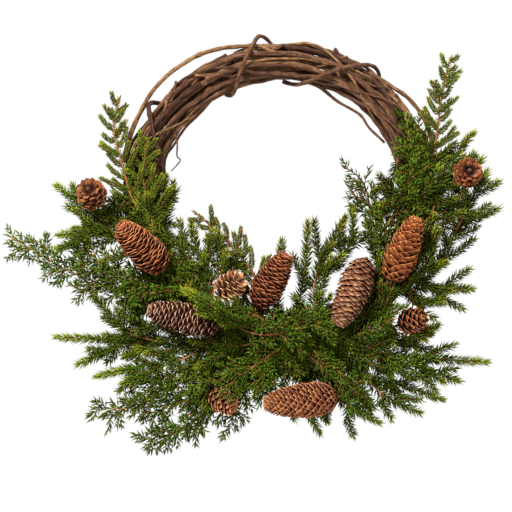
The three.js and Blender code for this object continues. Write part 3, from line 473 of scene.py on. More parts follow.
def layCone(name, cone):
    heading, tilt = cone["heading"] * degrees, cone["tilt"] * degrees
    axis = np.array([math.cos(heading) * math.cos(tilt), -math.sin(tilt),
                     math.sin(heading) * math.cos(tilt)])
    middle = np.array([cone["middle"][0], 0, cone["middle"][1]])
    base = middle - axis * cone["length"] / 2
    points, radii = fillCone(cone, base, axis)
    depth = coneForm["start"]
    for _ in range(coneForm["rounds"]):
        for point, radius in zip(points, radii):
            own = depth - point[1]
            depth += balls.freeDepth(point[0], point[2], radius, own, name) - own
    back = np.array([0, depth - settled.get(name, 0), 0])
    base = base - back
    balls.add([point - back for point in points], radii, name)
    stalk = None
    if "stalk" in cone:
        radius = coneForm["stalkRadius"]
        line = planLine([onRing(*cone["root"]), *cone["stalk"], (base[0], base[2])],
                        coneForm["stalkStep"])
        stem = lay(line, radius * coneForm["stalkPress"], laid["rootDepth"],
                   -base[1] - coneForm["stalkSink"], name, coneForm["stalkSlope"])
        stem[-1] = base
        stalk = np.vstack([stem, base + axis * coneForm["stalkIn"]])
        balls.add(subdivide(stalk, laid["ballsPerStep"]), radius, name)
    coneSeats[name] = (base, axis, stalk)


def straight(start, direction, length, step):
    count = stepsIn(length, step)
    return start + direction * (length * np.arange(count + 1) / count)[:, None]


def sideTwigs(name, kind, points, seed):
    line = SmoothLine(points)
    count = math.floor(line.length * sideRule["span"] / kind["every"])
    twigs = []
    for i in range(count):
        place = (i + sideRule["lead"]) / (count + sideRule["tail"])
        share = sideRule["from"] + place * sideRule["along"]
        start = line.atShare(share)[0]
        swing = kind["spread"] + sideRule["swing"] * scatter(seed + i)
        turn = (1 if i % 2 == 0 else -1) * swing * degrees
        x, z = turned(line.tangent(share)[0], turn)
        reach = (kind["sideLength"] * (1 - sideRule["shorten"] * share)
                 * mix(*sideRule["vary"], scatter(seed + i * 3)))
        for slant, cut in sideRule["slantAndCut"]:
            twig = straight(start, unit([x, -slant, z]), reach * cut,
                            kind["step"] * sideRule["step"])
            if twigIsClear(twig, kind["tipRadius"] + sideRule["gap"], name):
                twigs.append(twig)
                break
    return twigs


def twigIsClear(twig, radius, name):
    # The first few points lie against the stem and aren't asked.
    return all(balls.freeDepth(p[0], p[2], radius, -p[1], name) == -p[1]
               for p in subdivide(twig, laid["ballsPerStep"])[sideRule["against"]:])


def laySpray(name, twigs):
    kindName = name.split("_")[0]
    kind = kinds[kindName]
    own = []
    for start, tip, *way in twigs:
        first = not own
        if first:
            line = planLine([onRing(*start), *way], kind["step"])
            depth = laid["rootDepth"]
        else:
            spot = SmoothLine(own[0]["points"], even=True).atShare(start)[0]
            line = planLine([(spot[0], spot[2]), *way], kind["step"])
            depth = -spot[1]
        points = lay(line, kind["radius"] * stemLaying["sink"], depth, tip, name,
                     stemLaying["slope"])
        if first:
            points[:, 1] += settled.get(name, 0)
        else:
            points[0, 1] = -depth
        own.append({"owner": name, "points": points, "main": True})
        fine = subdivide(points, laid["ballsPerStep"])
        radii = mix(kind["radius"], kind["tipRadius"], np.linspace(0, 1, len(fine)))
        balls.add(fine, radii * stemLaying["ball"], name)
    if "every" in kind:
        for index, stem in enumerate(list(own)):
            seed = len(name) * 31 + index * 7 + len(stem["points"])
            for points in sideTwigs(name, kind, stem["points"], seed):
                own.append({"owner": name, "points": points, "main": False})
                balls.add(subdivide(points, laid["ballsPerStep"]), kind["tipRadius"], name)
    stems.extend(own)


for name, twigs in behindCones.items():
    laySpray(name, twigs)
for name, cone in cones.items():
    layCone(name, cone)
for name, twigs in overCones.items():
    laySpray(name, twigs)
print("cones and sprays planned:", len(coneSeats), "cones,", len(stems), "stems")


def newGroup(name, inputs, outputs):
    group = bpy.data.node_groups.new(name, "ShaderNodeTree")
    for label, kind, value in inputs:
        socket = group.interface.new_socket(label, in_out="INPUT", socket_type=kind)
        if value is not None:
            socket.default_value = value
    for label, kind in outputs:
        group.interface.new_socket(label, in_out="OUTPUT", socket_type=kind)
    start = group.nodes.new("NodeGroupInput")
    end = group.nodes.new("NodeGroupOutput")
    return group, start.outputs, end.inputs


class Graph:
    # Short calls for adding and joining nodes in one tree.
    def __init__(self, tree):
        self.tree = tree

    def node(self, kind, **values):
        made = self.tree.nodes.new(kind)
        for key, value in values.items():
            setattr(made, key, value)
        return made

    def put(self, socket, value):
        if isinstance(value, bpy.types.NodeSocket):
            self.tree.links.new(value, socket)
        else:
            socket.default_value = value

    def fill(self, made, **values):
        for label, value in values.items():
            self.put(made.inputs[label.replace("_", " ")], value)
        return made.outputs

    def math(self, operation, a, b):
        made = self.node("ShaderNodeMath", operation=operation)
        self.put(made.inputs[0], a)
        self.put(made.inputs[1], b)
        return made.outputs[0]

    def times(self, a, b):
        return self.math("MULTIPLY", a, b)

    def scaled(self, value, factor, offset):
        return self.math("ADD", self.times(value, factor), offset)

    def blend(self, share, a, b):
        made = self.node("ShaderNodeMix", data_type="RGBA", blend_type="MIX")
        return self.fill(made, Factor=share, A=a, B=b)["Result"]

    def ramp(self, value, low, high):
        made = self.node("ShaderNodeMapRange", clamp=True, interpolation_type="SMOOTHSTEP")
        return self.fill(made, Value=value, From_Min=low, From_Max=high)["Result"]

    def noise(self, vector, w, scale, detail, rough):
        made = self.node("ShaderNodeTexNoise", noise_dimensions="4D")
        found = self.fill(made, Vector=vector, W=w, Scale=scale, Detail=detail, Roughness=rough)
        return found["Factor"] if "Factor" in found else found["Fac"]

    def split(self, vector):
        made = self.node("ShaderNodeSeparateXYZ")
        self.put(made.inputs[0], vector)
        return made.outputs["X"], made.outputs["Y"], made.outputs["Z"]

    def place(self, group, **values):
        return self.fill(self.node("ShaderNodeGroup", node_tree=group), **values)


def rgba(colour):
    return (*colour, 1.0)


# The two groups that the materials share: streaks along a piece's own grain with blotches
# over them, and the tone of each strand, scale or needle.
grainLook = {"seedStep": 37.0, "streaks": (1.0, 4.0, 0.65), "blotches": (0.11, 2.0, 0.5)}


def makeFibres():
    group, start, end = newGroup(
        "grainFibres",
        [("Grain", "NodeSocketVector", None), ("Seed", "NodeSocketFloat", 0.0),
         ("Along", "NodeSocketFloat", 0.05), ("Across", "NodeSocketFloat", 1.0)],
        [("Streaks", "NodeSocketFloat"), ("Blotches", "NodeSocketFloat")])
    g = Graph(group)
    x, y, z = g.split(start["Grain"])
    stretched = g.fill(g.node("ShaderNodeCombineXYZ"), X=g.times(x, start["Along"]),
                       Y=g.times(y, start["Across"]), Z=g.times(z, start["Across"]))
    seed = g.times(start["Seed"], grainLook["seedStep"])
    g.put(end["Streaks"], g.noise(stretched[0], seed, *grainLook["streaks"]))
    g.put(end["Blotches"], g.noise(start["Grain"], seed, *grainLook["blotches"]))
    return group


def makeTones():
    group, start, end = newGroup(
        "strandTones",
        [("Color", "NodeSocketColor", (0.5, 0.5, 0.5, 1)), ("Tone", "NodeSocketFloat", 0.5),
         ("Hue", "NodeSocketFloat", 0.02), ("Light", "NodeSocketFloat", 0.3)],
        [("Color", "NodeSocketColor")])
    g = Graph(group)
    offset = g.math("SUBTRACT", start["Tone"], 0.5)
    moved = g.fill(g.node("ShaderNodeHueSaturation"), Color=start["Color"],
                   Hue=g.scaled(offset, start["Hue"], 0.5),
                   Value=g.scaled(offset, start["Light"], 1.0))
    g.put(end["Color"], moved["Color"])
    return group


fibres = makeFibres()
tones = makeTones()


class Finish(Graph):
    # A material's nodes, with its shader and what its meshes say about each point.
    def __init__(self, name, look):
        self.material = bpy.data.materials.new(name)
        self.material.use_nodes = True
        super().__init__(self.material.node_tree)
        self.shader = self.tree.nodes["Principled BSDF"].inputs
        self.shader["Roughness"].default_value = look["roughness"]
        self.shader["Specular IOR Level"].default_value = look["specular"]

    def grain(self):
        return self.node("ShaderNodeAttribute", attribute_name="grain").outputs["Vector"]

    def tone(self):
        return self.node("ShaderNodeAttribute", attribute_name="tone").outputs["Fac"]

    def streaked(self, grain, tone, look):
        made = self.place(fibres, Grain=grain, Seed=tone, Along=look["along"],
                          Across=look["across"])
        return made["Streaks"], made["Blotches"]

    def paint(self, colour, tone, look):
        made = self.place(tones, Color=colour, Tone=tone, Hue=look["hue"],
                          Light=look["light"])
        self.put(self.shader["Base Color"], made["Color"])

    def bump(self, height, strength, distance):
        made = self.node("ShaderNodeBump")
        found = self.fill(made, Strength=strength, Distance=distance, Height=height)
        self.put(self.shader["Normal"], found["Normal"])


barkFinish = {"roughness": 0.78, "specular": 0.25, "body": (0.39, 0.54), "wearAndHighlight": (0.50, 0.66),
              "patches": (0.34, 0.58), "rough": (-0.25, 0.92), "strength": 1.0}
# Bark colours: deep is dark bark and also painted shade in its grooves, body is its own brown, and
# the pale streak colour is bark paled by wear and also painted highlight.
barkLook = {
    "willow": {"deep": (0.008, 0.003, 0.001), "body": (0.245, 0.103, 0.045),
               "wearAndHighlight": (0.680, 0.380, 0.210), "along": 0.10, "across": 3.0,
               "hue": 0.03, "light": 1.35, "bump": 0.0022},
    "twig": {"deep": (0.110, 0.034, 0.010), "body": (0.36, 0.130, 0.032),
             "wearAndHighlight": (0.52, 0.25, 0.085), "along": 0.35, "across": 1.6,
             "hue": 0.03, "light": 0.6, "bump": 0.0003},
    "stalk": {"deep": (0.045, 0.020, 0.010), "body": (0.16, 0.075, 0.035),
              "wearAndHighlight": (0.30, 0.16, 0.08), "along": 0.25, "across": 1.5,
              "hue": 0.02, "light": 0.4, "bump": 0.0004},
}


def makeBark(key):
    look = barkLook[key]
    g = Finish(key + "Bark", barkFinish)
    grain, tone = g.grain(), g.tone()
    streaks, patches = g.streaked(grain, tone, look)
    # Partly painted shade: the lowest streaks, which the bump sinks into grooves, take the
    # near-black deep colour.
    colour = g.blend(g.ramp(streaks, *barkFinish["body"]), rgba(look["deep"]),
                     rgba(look["body"]))
    # Partly painted highlight: pale streaks on the raised grain, where the blotches allow, stand
    # for bark paled by wear and for light caught on it.
    wearAndHighlight = g.times(g.ramp(streaks, *barkFinish["wearAndHighlight"]), g.ramp(patches, *barkFinish["patches"]))
    g.paint(g.blend(wearAndHighlight, colour, rgba(look["wearAndHighlight"])), tone, look)
    g.put(g.shader["Roughness"], g.scaled(streaks, *barkFinish["rough"]))
    g.bump(streaks, barkFinish["strength"], look["bump"])
    return g.material


scaleFinish = {"roughness": 0.62, "specular": 0.2, "along": 1.2, "across": 9.0,
               "hue": 0.016, "light": 0.75, "outward": (0.44, 0.76),
               "veins": (0.40, 0.68), "veinShare": 0.45, "rimFrom": 0.88, "rimTo": 0.99,
               "rimShare": 0.9, "frost": (0.72, 0.52, 0.40), "frostIn": (0.50, 0.62),
               "frostFrom": (0.5, 0.8), "rough": (0.4, 0.42), "strength": 0.6,
               "bump": 0.0003}
# Each cone's colours: the darkest is painted shade at the scales' roots and also darkens their
# veins; body is the scales' own colour; rim and frost lighten their ends.
coneLook = {
    "cone_left": {"rootShadeAndVeins": (0.014, 0.003, 0.001), "body": (0.200, 0.048, 0.014),
                  "rim": (0.700, 0.256, 0.105), "rimFrom": 0.89},
    "cone_low_left": {"rootShadeAndVeins": (0.005, 0.002, 0.001), "body": (0.062, 0.014, 0.005),
                      "rim": (0.780, 0.410, 0.255), "rimFrom": 0.93, "frost": 0.06},
    "cone_middle": {"rootShadeAndVeins": (0.007, 0.002, 0.001), "body": (0.110, 0.024, 0.007),
                    "rim": (0.560, 0.188, 0.072), "rimFrom": 0.91, "frost": 0.02},
    "cone_right_low": {"rootShadeAndVeins": (0.012, 0.003, 0.001), "body": (0.230, 0.076, 0.028),
                       "rim": (0.820, 0.440, 0.270), "rimFrom": 0.93, "frost": 0.18},
    "cone_right": {"rootShadeAndVeins": (0.022, 0.005, 0.002), "body": (0.380, 0.112, 0.032),
                   "rim": (0.620, 0.215, 0.072)},
    "cone_bottom": {"rootShadeAndVeins": (0.060, 0.016, 0.006), "body": (0.440, 0.158, 0.066),
                    "rim": (0.670, 0.270, 0.120), "frost": 0.06},
    "cone_small_middle": {"rootShadeAndVeins": (0.230, 0.090, 0.038), "body": (0.680, 0.295, 0.135),
                          "rim": (0.830, 0.430, 0.220)},
    "cone_small_bottom": {"rootShadeAndVeins": (0.050, 0.015, 0.005), "body": (0.500, 0.180, 0.070),
                          "rim": (0.740, 0.340, 0.160)},
    "cone_small_low_right": {"rootShadeAndVeins": (0.034, 0.009, 0.004), "body": (0.340, 0.105, 0.034),
                             "rim": (0.600, 0.240, 0.090)},
    "cone_small_left": {"rootShadeAndVeins": (0.045, 0.012, 0.004), "body": (0.280, 0.092, 0.030),
                        "rim": (0.560, 0.220, 0.088)},
    "cone_small_right": {"rootShadeAndVeins": (0.038, 0.009, 0.004), "body": (0.290, 0.088, 0.027),
                         "rim": (0.560, 0.205, 0.076)},
}


def makeConeScales(name):
    # The grain's x runs from a scale's root to its rim, its y across it.
    look = coneLook[name]
    g = Finish(name + "Scales", scaleFinish)
    grain, tone = g.grain(), g.tone()
    outward = g.split(grain)[0]
    streaks, _ = g.streaked(grain, tone, scaleFinish)
    # Painted shade: the part of each scale near its root, deep in the cone, is painted near black,
    # and its veins are darkened with the same colour.
    colour = g.blend(g.ramp(outward, *scaleFinish["outward"]), rgba(look["rootShadeAndVeins"]),
                     rgba(look["body"]))
    veins = g.times(g.ramp(streaks, *scaleFinish["veins"]), scaleFinish["veinShare"])
    colour = g.blend(veins, colour, rgba(look["rootShadeAndVeins"]))
    # Partly painted highlight: a narrow band at each scale's rim is painted lighter, for the
    # scales' own paler edges and for the light their edges catch.
    rimFrom = look.get("rimFrom", scaleFinish["rimFrom"])
    rim = g.times(g.ramp(outward, rimFrom, scaleFinish["rimTo"]), scaleFinish["rimShare"])
    colour = g.blend(rim, colour, rgba(look["rim"]))
    if "frost" in look:
        frost = g.times(g.ramp(streaks, *scaleFinish["frostIn"]), look["frost"])
        frost = g.times(frost, g.ramp(outward, *scaleFinish["frostFrom"]))
        colour = g.blend(frost, colour, rgba(scaleFinish["frost"]))
    g.paint(colour, tone, scaleFinish)
    g.put(g.shader["Roughness"], g.scaled(streaks, *scaleFinish["rough"]))
    g.bump(streaks, scaleFinish["strength"], scaleFinish["bump"])
    return g.material


needleFinish = {"roughness": 0.50, "specular": 0.12, "body": (-0.3, 0.7), "shootTo": 1.02,
                "shootTip": (0.0, 0.9), "shootShare": 0.82}
# deep is the painted shade at each needle's root, body is its own green, and shoot is the young
# shoots' paler green.
needleLook = {
    "spruce": {"deep": (0.007, 0.014, 0.001), "body": (0.062, 0.094, 0.003),
               "shoot": (0.330, 0.345, 0.014), "shootFrom": 0.70, "light": 1.2, "hue": 0.04},
    "frond": {"deep": (0.012, 0.026, 0.002), "body": (0.084, 0.134, 0.006),
              "shoot": (0.320, 0.350, 0.018), "shootFrom": 0.62, "light": 1.0, "hue": 0.04},
    "cypress": {"deep": (0.009, 0.018, 0.002), "body": (0.070, 0.110, 0.004),
                "shoot": (0.170, 0.235, 0.026), "shootFrom": 0.70, "light": 1.2, "hue": 0.05},
}


def makeNeedles(key):
    # The grain's x runs from a needle's root to its end, its y from the shoot's root to its
    # tip.
    look = needleLook[key]
    g = Finish(key + "Needles", needleFinish)
    tone = g.tone()
    outward, along, _ = g.split(g.grain())
    # Painted shade: each needle is painted near black at its root, where the needles crowd round
    # the twig, and turns to its own green towards its end.
    colour = g.blend(g.ramp(outward, *needleFinish["body"]), rgba(look["deep"]),
                     rgba(look["body"]))
    young = g.times(g.ramp(along, look["shootFrom"], needleFinish["shootTo"]),
                    g.ramp(outward, *needleFinish["shootTip"]))
    young = g.times(young, needleFinish["shootShare"])
    g.paint(g.blend(young, colour, rgba(look["shoot"])), tone, look)
    return g.material


willowBark = makeBark("willow")
twigBark = makeBark("twig")
stalkBark = makeBark("stalk")
needleGreens = {key: makeNeedles(key) for key in needleLook}
print("materials made")


barkPlace, needlePlace = 0, 1      # places in a spray's list of materials, and a vine's
scalePlace, stalkPlace = 0, 1      # places in a cone's


class Skin:
    # Gathers points, faces and their grain and tone, and makes one object of them.
    made, most = 0, 0      # triangles in all, and in the largest piece
    inset = 2e-5           # how far inside the model's box a point stays, in metres

    def __init__(self):
        self.points, self.faces, self.grain, self.tone, self.places = [], [], [], [], []
        self.count = 0

    def add(self, points, faces, grain, tone, place):
        # place is the faces' place in the piece's list of materials
        points = np.asarray(points, float).reshape(-1, 3)
        self.points.append(points)
        self.grain.append(np.asarray(grain, float).reshape(-1, 3))
        self.tone.append(np.broadcast_to(np.asarray(tone, float), (len(points),)))
        for face in faces:
            self.faces.append(np.asarray(face, int) + self.count)
            self.places.append(place)
        self.count += len(points)

    def makeMesh(self, name):
        points = inFrame(np.vstack(self.points))
        low, high = np.array(cadBox)
        points = np.clip(points, low + self.inset, high - self.inset)
        sizes = np.concatenate([np.full(len(f), f.shape[1]) for f in self.faces])
        corners = np.concatenate([f.ravel() for f in self.faces])
        places = np.concatenate([np.full(len(f), p) for f, p in zip(self.faces, self.places)])
        starts = np.concatenate([[0], np.cumsum(sizes)[:-1]])
        mesh = bpy.data.meshes.new(name)
        mesh.vertices.add(len(points))
        mesh.vertices.foreach_set("co", points.astype(np.float32).ravel())
        mesh.loops.add(len(corners))
        mesh.loops.foreach_set("vertex_index", corners.astype(np.int32))
        mesh.polygons.add(len(sizes))
        mesh.polygons.foreach_set("loop_start", starts.astype(np.int32))
        mesh.polygons.foreach_set("material_index", places.astype(np.int32))
        mesh.update(calc_edges=True)
        grain = mesh.attributes.new("grain", "FLOAT_VECTOR", "POINT")
        grain.data.foreach_set("vector", np.vstack(self.grain).astype(np.float32).ravel())
        tone = mesh.attributes.new("tone", "FLOAT", "POINT")
        tone.data.foreach_set("value", np.concatenate(self.tone).astype(np.float32))
        mesh.polygons.foreach_set("use_smooth", np.ones(len(sizes), bool))
        return mesh

    def build(self, name, materials, nodes):
        mesh = self.makeMesh(name)
        for material in materials:
            mesh.materials.append(material)
        piece = bpy.data.objects.new(name, mesh)
        bpy.context.collection.objects.link(piece)
        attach(piece, "root")
        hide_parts(*nodes)
        triangles = sum(len(f) * (f.shape[1] - 2) for f in self.faces)
        Skin.made += triangles
        Skin.most = max(Skin.most, triangles)


def carriedFrames(points):
    # Tangent, normal and side at each point, carried along without twist.
    points = np.asarray(points, float)
    tangents = unit(np.gradient(points, axis=0))
    normal = np.cross(tangents[0], (0, 1, 0))
    if np.linalg.norm(normal) < 0.1:
        normal = np.cross(tangents[0], (1, 0, 0))
    normals = []
    for tangent in tangents:
        normal = unit(normal - tangent * np.dot(normal, tangent))
        normals.append(normal)
    normals = np.array(normals)
    return tangents, normals, np.cross(tangents, normals)


strandLook = {   # ridges: height, number round, turn along and what the seed turns
    "ridges": ((0.45, 3, 0.05, 9), (0.35, 5, -0.09, 23), (0.3, 2, 0.31, 5)), "sink": 0.35,
    "rootCap": 0.3, "tipCap": 0.5,
}


def ridges(angles, along, rough, seed):
    total = sum(height * np.sin(number * angles[None, :] + turn * along[:, None] + seed * by)
                for height, number, turn, by in strandLook["ridges"])
    return 1 + rough * (total - strandLook["sink"])


def tubeFaces(count, sides):
    i = np.arange(count - 1)[:, None] * sides
    j = np.arange(sides)[None, :]
    k = (j + 1) % sides
    quads = np.stack([i + j, i + k, i + sides + k, i + sides + j], axis=-1).reshape(-1, 4)
    j, k = j.ravel(), k.ravel()
    first, last = count * sides, count * sides + 1
    base = (count - 1) * sides
    rootCap = np.stack([k, j, np.full(sides, first)], axis=-1)
    tipCap = np.stack([base + j, base + k, np.full(sides, last)], axis=-1)
    return [quads, rootCap, tipCap]


def sweep(skin, points, radii, look, tone, place, seed):
    # A closed round strand along points, with ridges that run along it.
    count, sides = len(points), look["sides"]
    radii = np.broadcast_to(np.asarray(radii, float), (count,))
    tangents, normals, across = carriedFrames(points)
    steps = np.linalg.norm(np.diff(points, axis=0), axis=1)
    along = np.concatenate([[0], np.cumsum(steps)])
    angles = np.arange(sides) / sides * 2 * math.pi
    c, s = np.cos(angles), np.sin(angles)
    reach = radii[:, None, None] * ridges(angles, along, look["rough"], seed)[:, :, None]
    rings = points[:, None] + reach * (normals[:, None] * c[None, :, None]
                                       + across[:, None] * s[None, :, None])
    grain = np.stack([np.broadcast_to(along[:, None], (count, sides)),
                      radii[:, None] * c[None, :] + seed * 3, radii[:, None] * s[None, :]],
                     axis=-1)
    ends = np.vstack([points[0] - tangents[0] * radii[0] * strandLook["rootCap"],
                      points[-1] + tangents[-1] * radii[-1] * strandLook["tipCap"]])
    endGrain = np.array([[along[0], 0, 0], [along[-1], 0, 0]])
    skin.add(np.vstack([rings.reshape(-1, 3), ends]), tubeFaces(count, sides),
             np.vstack([grain.reshape(-1, 3), endGrain]), tone, place)


vineLook = {
    "step": 4.0, "sides": 9, "wiggle": 1.5, "rough": 0.30, "slim": 0.93,
    "knotEvery": 74.0, "knot": 0.16, "knotLength": 3.4, "swell": 0.07, "swellLength": 41,
    "bends": ((21, 7, 9.3, 19), (17, 3, 7.7, 29)),   # long and short, with their seeds
    "shortBend": 0.6,
}
strandsLook = {
    "sides": 7, "start": 1.1, "phase": 2.4, "slotsRound": 3, "sink": 3.2, "endDrop": 7.0,
    "endShare": 16, "rise": 1.9, "riseTurn": 19, "wiggle": 2.6, "taper": 0.8, "rough": 0.22,
    "strands": (   # slim strands over the bundle: from turn, to turn, slots turned, reach, radius
        (0.03, 1.05, -1.6, 21.2, 2.5), (0.31, 1.32, -2.9, 21.8, 2.1),
        (0.55, 1.60, 1.3, 20.8, 2.7), (0.80, 1.74, -3.6, 21.5, 2.3),
        (0.12, 1.12, 2.2, 20.2, 2.2), (0.45, 1.40, -0.7, 22.0, 1.9),
        (0.66, 1.62, 0.6, 21.0, 2.8), (0.90, 1.80, -2.1, 20.5, 2.4),
        (0.22, 1.18, 3.3, 21.6, 2.0), (0.72, 1.70, -4.4, 21.0, 2.2),
        (0.05, 0.98, 0.1, 20.6, 3.0), (0.38, 1.36, 1.9, 21.3, 2.4),
        (0.02, 0.62, -5.6, 22.4, 1.8), (0.48, 1.12, 5.2, 22.8, 2.0),
        (0.30, 0.94, 4.6, 21.8, 2.9), (0.86, 1.42, -6.4, 22.6, 1.7),
        (0.58, 1.24, -5.0, 22.2, 2.6), (0.14, 0.70, 6.2, 22.9, 1.6),
        (0.70, 1.34, 3.8, 21.9, 2.8), (0.42, 1.02, -4.2, 22.5, 2.2)),
}
stubsLook = {
    "sides": 8, "reach": 15.0, "ahead": 4, "points": 9, "bend": 1.4, "lift": 3,
    "taper": 0.75, "rough": 0.12,
    "stubs": (     # short ends that stand off the bundle: angle, phase, turn, length, radius
        (116, 80, -24, 30, 2.6), (106, 20, 30, 22, 3.0), (99, 150, 26, 26, 2.2),
        (88, 60, -20, 34, 2.8), (77, 110, 24, 24, 2.4), (63, 15, -28, 26, 3.2),
        (54, 70, 22, 30, 2.4), (139, 40, 26, 28, 2.4), (150, 120, -24, 24, 2.6),
        (29, 60, 24, 30, 2.8), (122, 150, 22, 22, 2.4), (111, 110, -26, 24, 2.2),
        (94, 35, 24, 20, 2.6), (83, 140, -24, 26, 2.0), (70, 30, 26, 22, 2.6),
        (58, 130, -22, 24, 2.2), (47, 40, 24, 22, 2.8), (36, 100, -26, 26, 2.4),
        (133, 90, -22, 26, 2.8), (145, 60, 22, 20, 2.2)),
}


def wavy(points, seed, reach):
    # Small bends of a vine, a few centimetres long.
    u = np.arange(len(points)) * vineLook["step"]
    out = unit(points * (1, 0, 1))
    a, b = (np.sin(u / long + seed * longSeed)
            + vineLook["shortBend"] * np.sin(u / short + seed * shortSeed)
            for long, longSeed, short, shortSeed in vineLook["bends"])
    moved = points + out * (a * reach * 0.5)[:, None]
    moved[:, 1] += b * reach * 0.5
    return moved


def knotted(radius, count, seed, taper):
    # A vine's radius along its length, swelling at each joint.
    u = np.arange(count) * vineLook["step"]
    every = vineLook["knotEvery"]
    swell = np.exp(-(((u + seed * 60) % every - every / 2) / vineLook["knotLength"]) ** 2)
    slow = 1 + vineLook["swell"] * np.sin(u / vineLook["swellLength"] + seed * 11)
    return radius * slow * (1 + vineLook["knot"] * swell) * np.linspace(1, taper, count)


def turnSteps(fromTurn, toTurn):
    length = (toTurn - fromTurn) * 2 * math.pi * ring["radius"]
    return max(3, int(length / vineLook["step"]))


def makeBundleVine(name, layer, fromTurn, toTurn, number):
    skin = Skin()
    gap = bundle["endGap"]
    turns = np.linspace(fromTurn + gap, toTurn - gap, turnSteps(fromTurn, toTurn))
    points = wavy(bundleRoute(layer, turns), number * 0.37, vineLook["wiggle"])
    radii = knotted(layer["radius"] * vineLook["slim"], len(points), number * 0.61,
                    layer["taper"])
    sweep(skin, points, radii, vineLook, scatter(number), barkPlace, number * 0.7)
    if layer is bundle["outer"]:      # each of the four carries every fourth strand and stub
        own = number - 3
        for k in range(own, len(strandsLook["strands"]), 4):
            addStrand(skin, *strandsLook["strands"][k], k)
        for k in range(own, len(stubsLook["stubs"]), 4):
            addStub(skin, *stubsLook["stubs"][k], k)
    skin.build(name + "_bark", [willowBark], [name])


def addStrand(skin, fromTurn, toTurn, slots, reach, radius, number):
    look = strandsLook
    turns = np.linspace(fromTurn, toTurn, turnSteps(fromTurn, toTurn))
    share = (turns - fromTurn) / (toTurn - fromTurn)
    phase = number * look["phase"] + slots * share * 2 * math.pi / look["slotsRound"]
    sink = look["sink"] * np.clip(np.sin(-phase), 0, 1)    # lies flatter at the back
    fromEnd = np.minimum(share, 1 - share) * look["endShare"]
    ends = look["endDrop"] * (1 - np.clip(fromEnd, 0, 1))
    rise = look["rise"] * np.sin(share * look["riseTurn"] + number * 3)
    points = inBundle(turns * 2 * math.pi + look["start"], reach + rise - sink - ends, phase)
    points = wavy(points, number * 0.53, look["wiggle"])
    radii = knotted(radius, len(points), number * 0.47, look["taper"])
    sweep(skin, points, radii, look, scatter(number + 40), barkPlace, number * 1.3)


def addStub(skin, angle, phase, turn, length, radius, number):
    look = stubsLook
    start = inBundle(angle * degrees, look["reach"], phase * degrees)
    onward = (angle - math.copysign(look["ahead"], turn)) * degrees
    ahead = unit(inBundle(onward, look["reach"], phase * degrees) - start)
    out = unit(start * (1, 0, 1))
    lean = abs(turn) * degrees
    shares = np.linspace(0, 1, look["points"])[:, None]
    points = (start + ahead * math.cos(lean) * length * shares
              + out * (math.sin(lean) * length) * shares ** look["bend"])
    points[:, 1] -= look["lift"] * shares[:, 0] * math.sin(phase * degrees)
    radii = radius * np.linspace(1, look["taper"], look["points"])
    sweep(skin, points, radii, look, scatter(number + 70), barkPlace, number)


freeLook = {
    "step": 2.6, "wiggle": 0.5, "slim": 0.95, "taper": 0.75, "sides": 10, "rough": 0.18,
    "into": {   # where a loose vine's ends slip back into the bundle: before and after
        "vine_loose_left": ((), ((98, 18, wrap - 4), (91, 22, wrap - 10))),
        "vine_loose_inner": (((84, 190, wrap - 10), (77, 189, wrap - 6)), ()),
        "vine_loose_right": (((58, 24, wrap - 9),), ()),
    },
}
deadTwig = {   # a thin twig that hangs inside the ring
    "way": ((-133, -16, 88), (-127, -19, 70), (-127, -20, 52), (-123, -20, 46), (-134, -19, 33)),
    "radii": (1.5, 0.7), "steps": 24, "sides": 7, "rough": 0.12, "tone": 0.3, "seed": 5,
}


def makeFreeVine(name, stations, radius, number):
    skin = Skin()
    before, after = freeLook["into"].get(name, ((), ()))
    line = freeRoute([*before, *stations, *after])
    count = max(6, int(line.length / freeLook["step"]))
    points = wavy(line.spaced(count), number * 0.9, freeLook["wiggle"])
    radii = knotted(radius * freeLook["slim"], len(points), number * 0.3, freeLook["taper"])
    sweep(skin, points, radii, freeLook, scatter(number + 11), barkPlace, number * 2.1)
    if name == "vine_loose_inner":
        twig = SmoothLine(deadTwig["way"]).spaced(deadTwig["steps"])
        sweep(skin, twig, np.linspace(*deadTwig["radii"], len(twig)), deadTwig,
              deadTwig["tone"], barkPlace, deadTwig["seed"])
    skin.build(name + "_bark", [willowBark], [name])


for number, vine in enumerate(bundleVines, 1):
    makeBundleVine(*vine, number)
for number, (name, (stations, radius, step)) in enumerate(freeVines.items(), 1):
    makeFreeVine(name, stations, radius, number)
print("vines made:", Skin.made, "triangles")


# Kinds of cone: number of scales, half a scale's width, the core's share of the cone's
# width, how far a scale rises at the cone's base and tip, and how it cups, curls and opens.
coneShape = {
    "broad": {"scales": 190, "half": 9.2, "core": 0.42, "rise": 12.0, "riseTip": 11.0,
              "from": 0.0, "to": 0.995, "cup": 0.18, "curl": 0.14, "open": 0.25,
              "tipIn": 0.25, "jitter": 2.6},
    "open": {"scales": 230, "half": 9.6, "core": 0.36, "rise": 9.0, "riseTip": 10.0,
             "from": 0.0, "to": 0.995, "cup": 0.12, "curl": 0.16, "open": 0.25,
             "tipIn": 0.25, "jitter": 2.2},
    "droop": {"scales": 330, "half": 5.8, "core": 0.42, "rise": 9.5, "riseTip": 9.5,
              "from": 0.0, "to": 0.995, "cup": 0.34, "curl": 0.12, "open": 0.28,
              "tipIn": 0.25, "jitter": 1.4},
    "small": {"scales": 46, "half": 5.8, "core": 0.22, "rise": 7.0, "riseTip": 9.0,
              "from": 0.02, "to": 0.92, "cup": 0.24, "curl": 0.45, "open": 0.40,
              "tipIn": 0.50, "jitter": 1.0},
    "smallSide": {"scales": 60, "half": 7.0, "core": 0.34, "rise": 9.5, "riseTip": 9.0,
                  "from": 0.0, "to": 0.97, "cup": 0.20, "curl": 0.18, "open": 0.30,
                  "tipIn": 0.35, "jitter": 1.6},
}
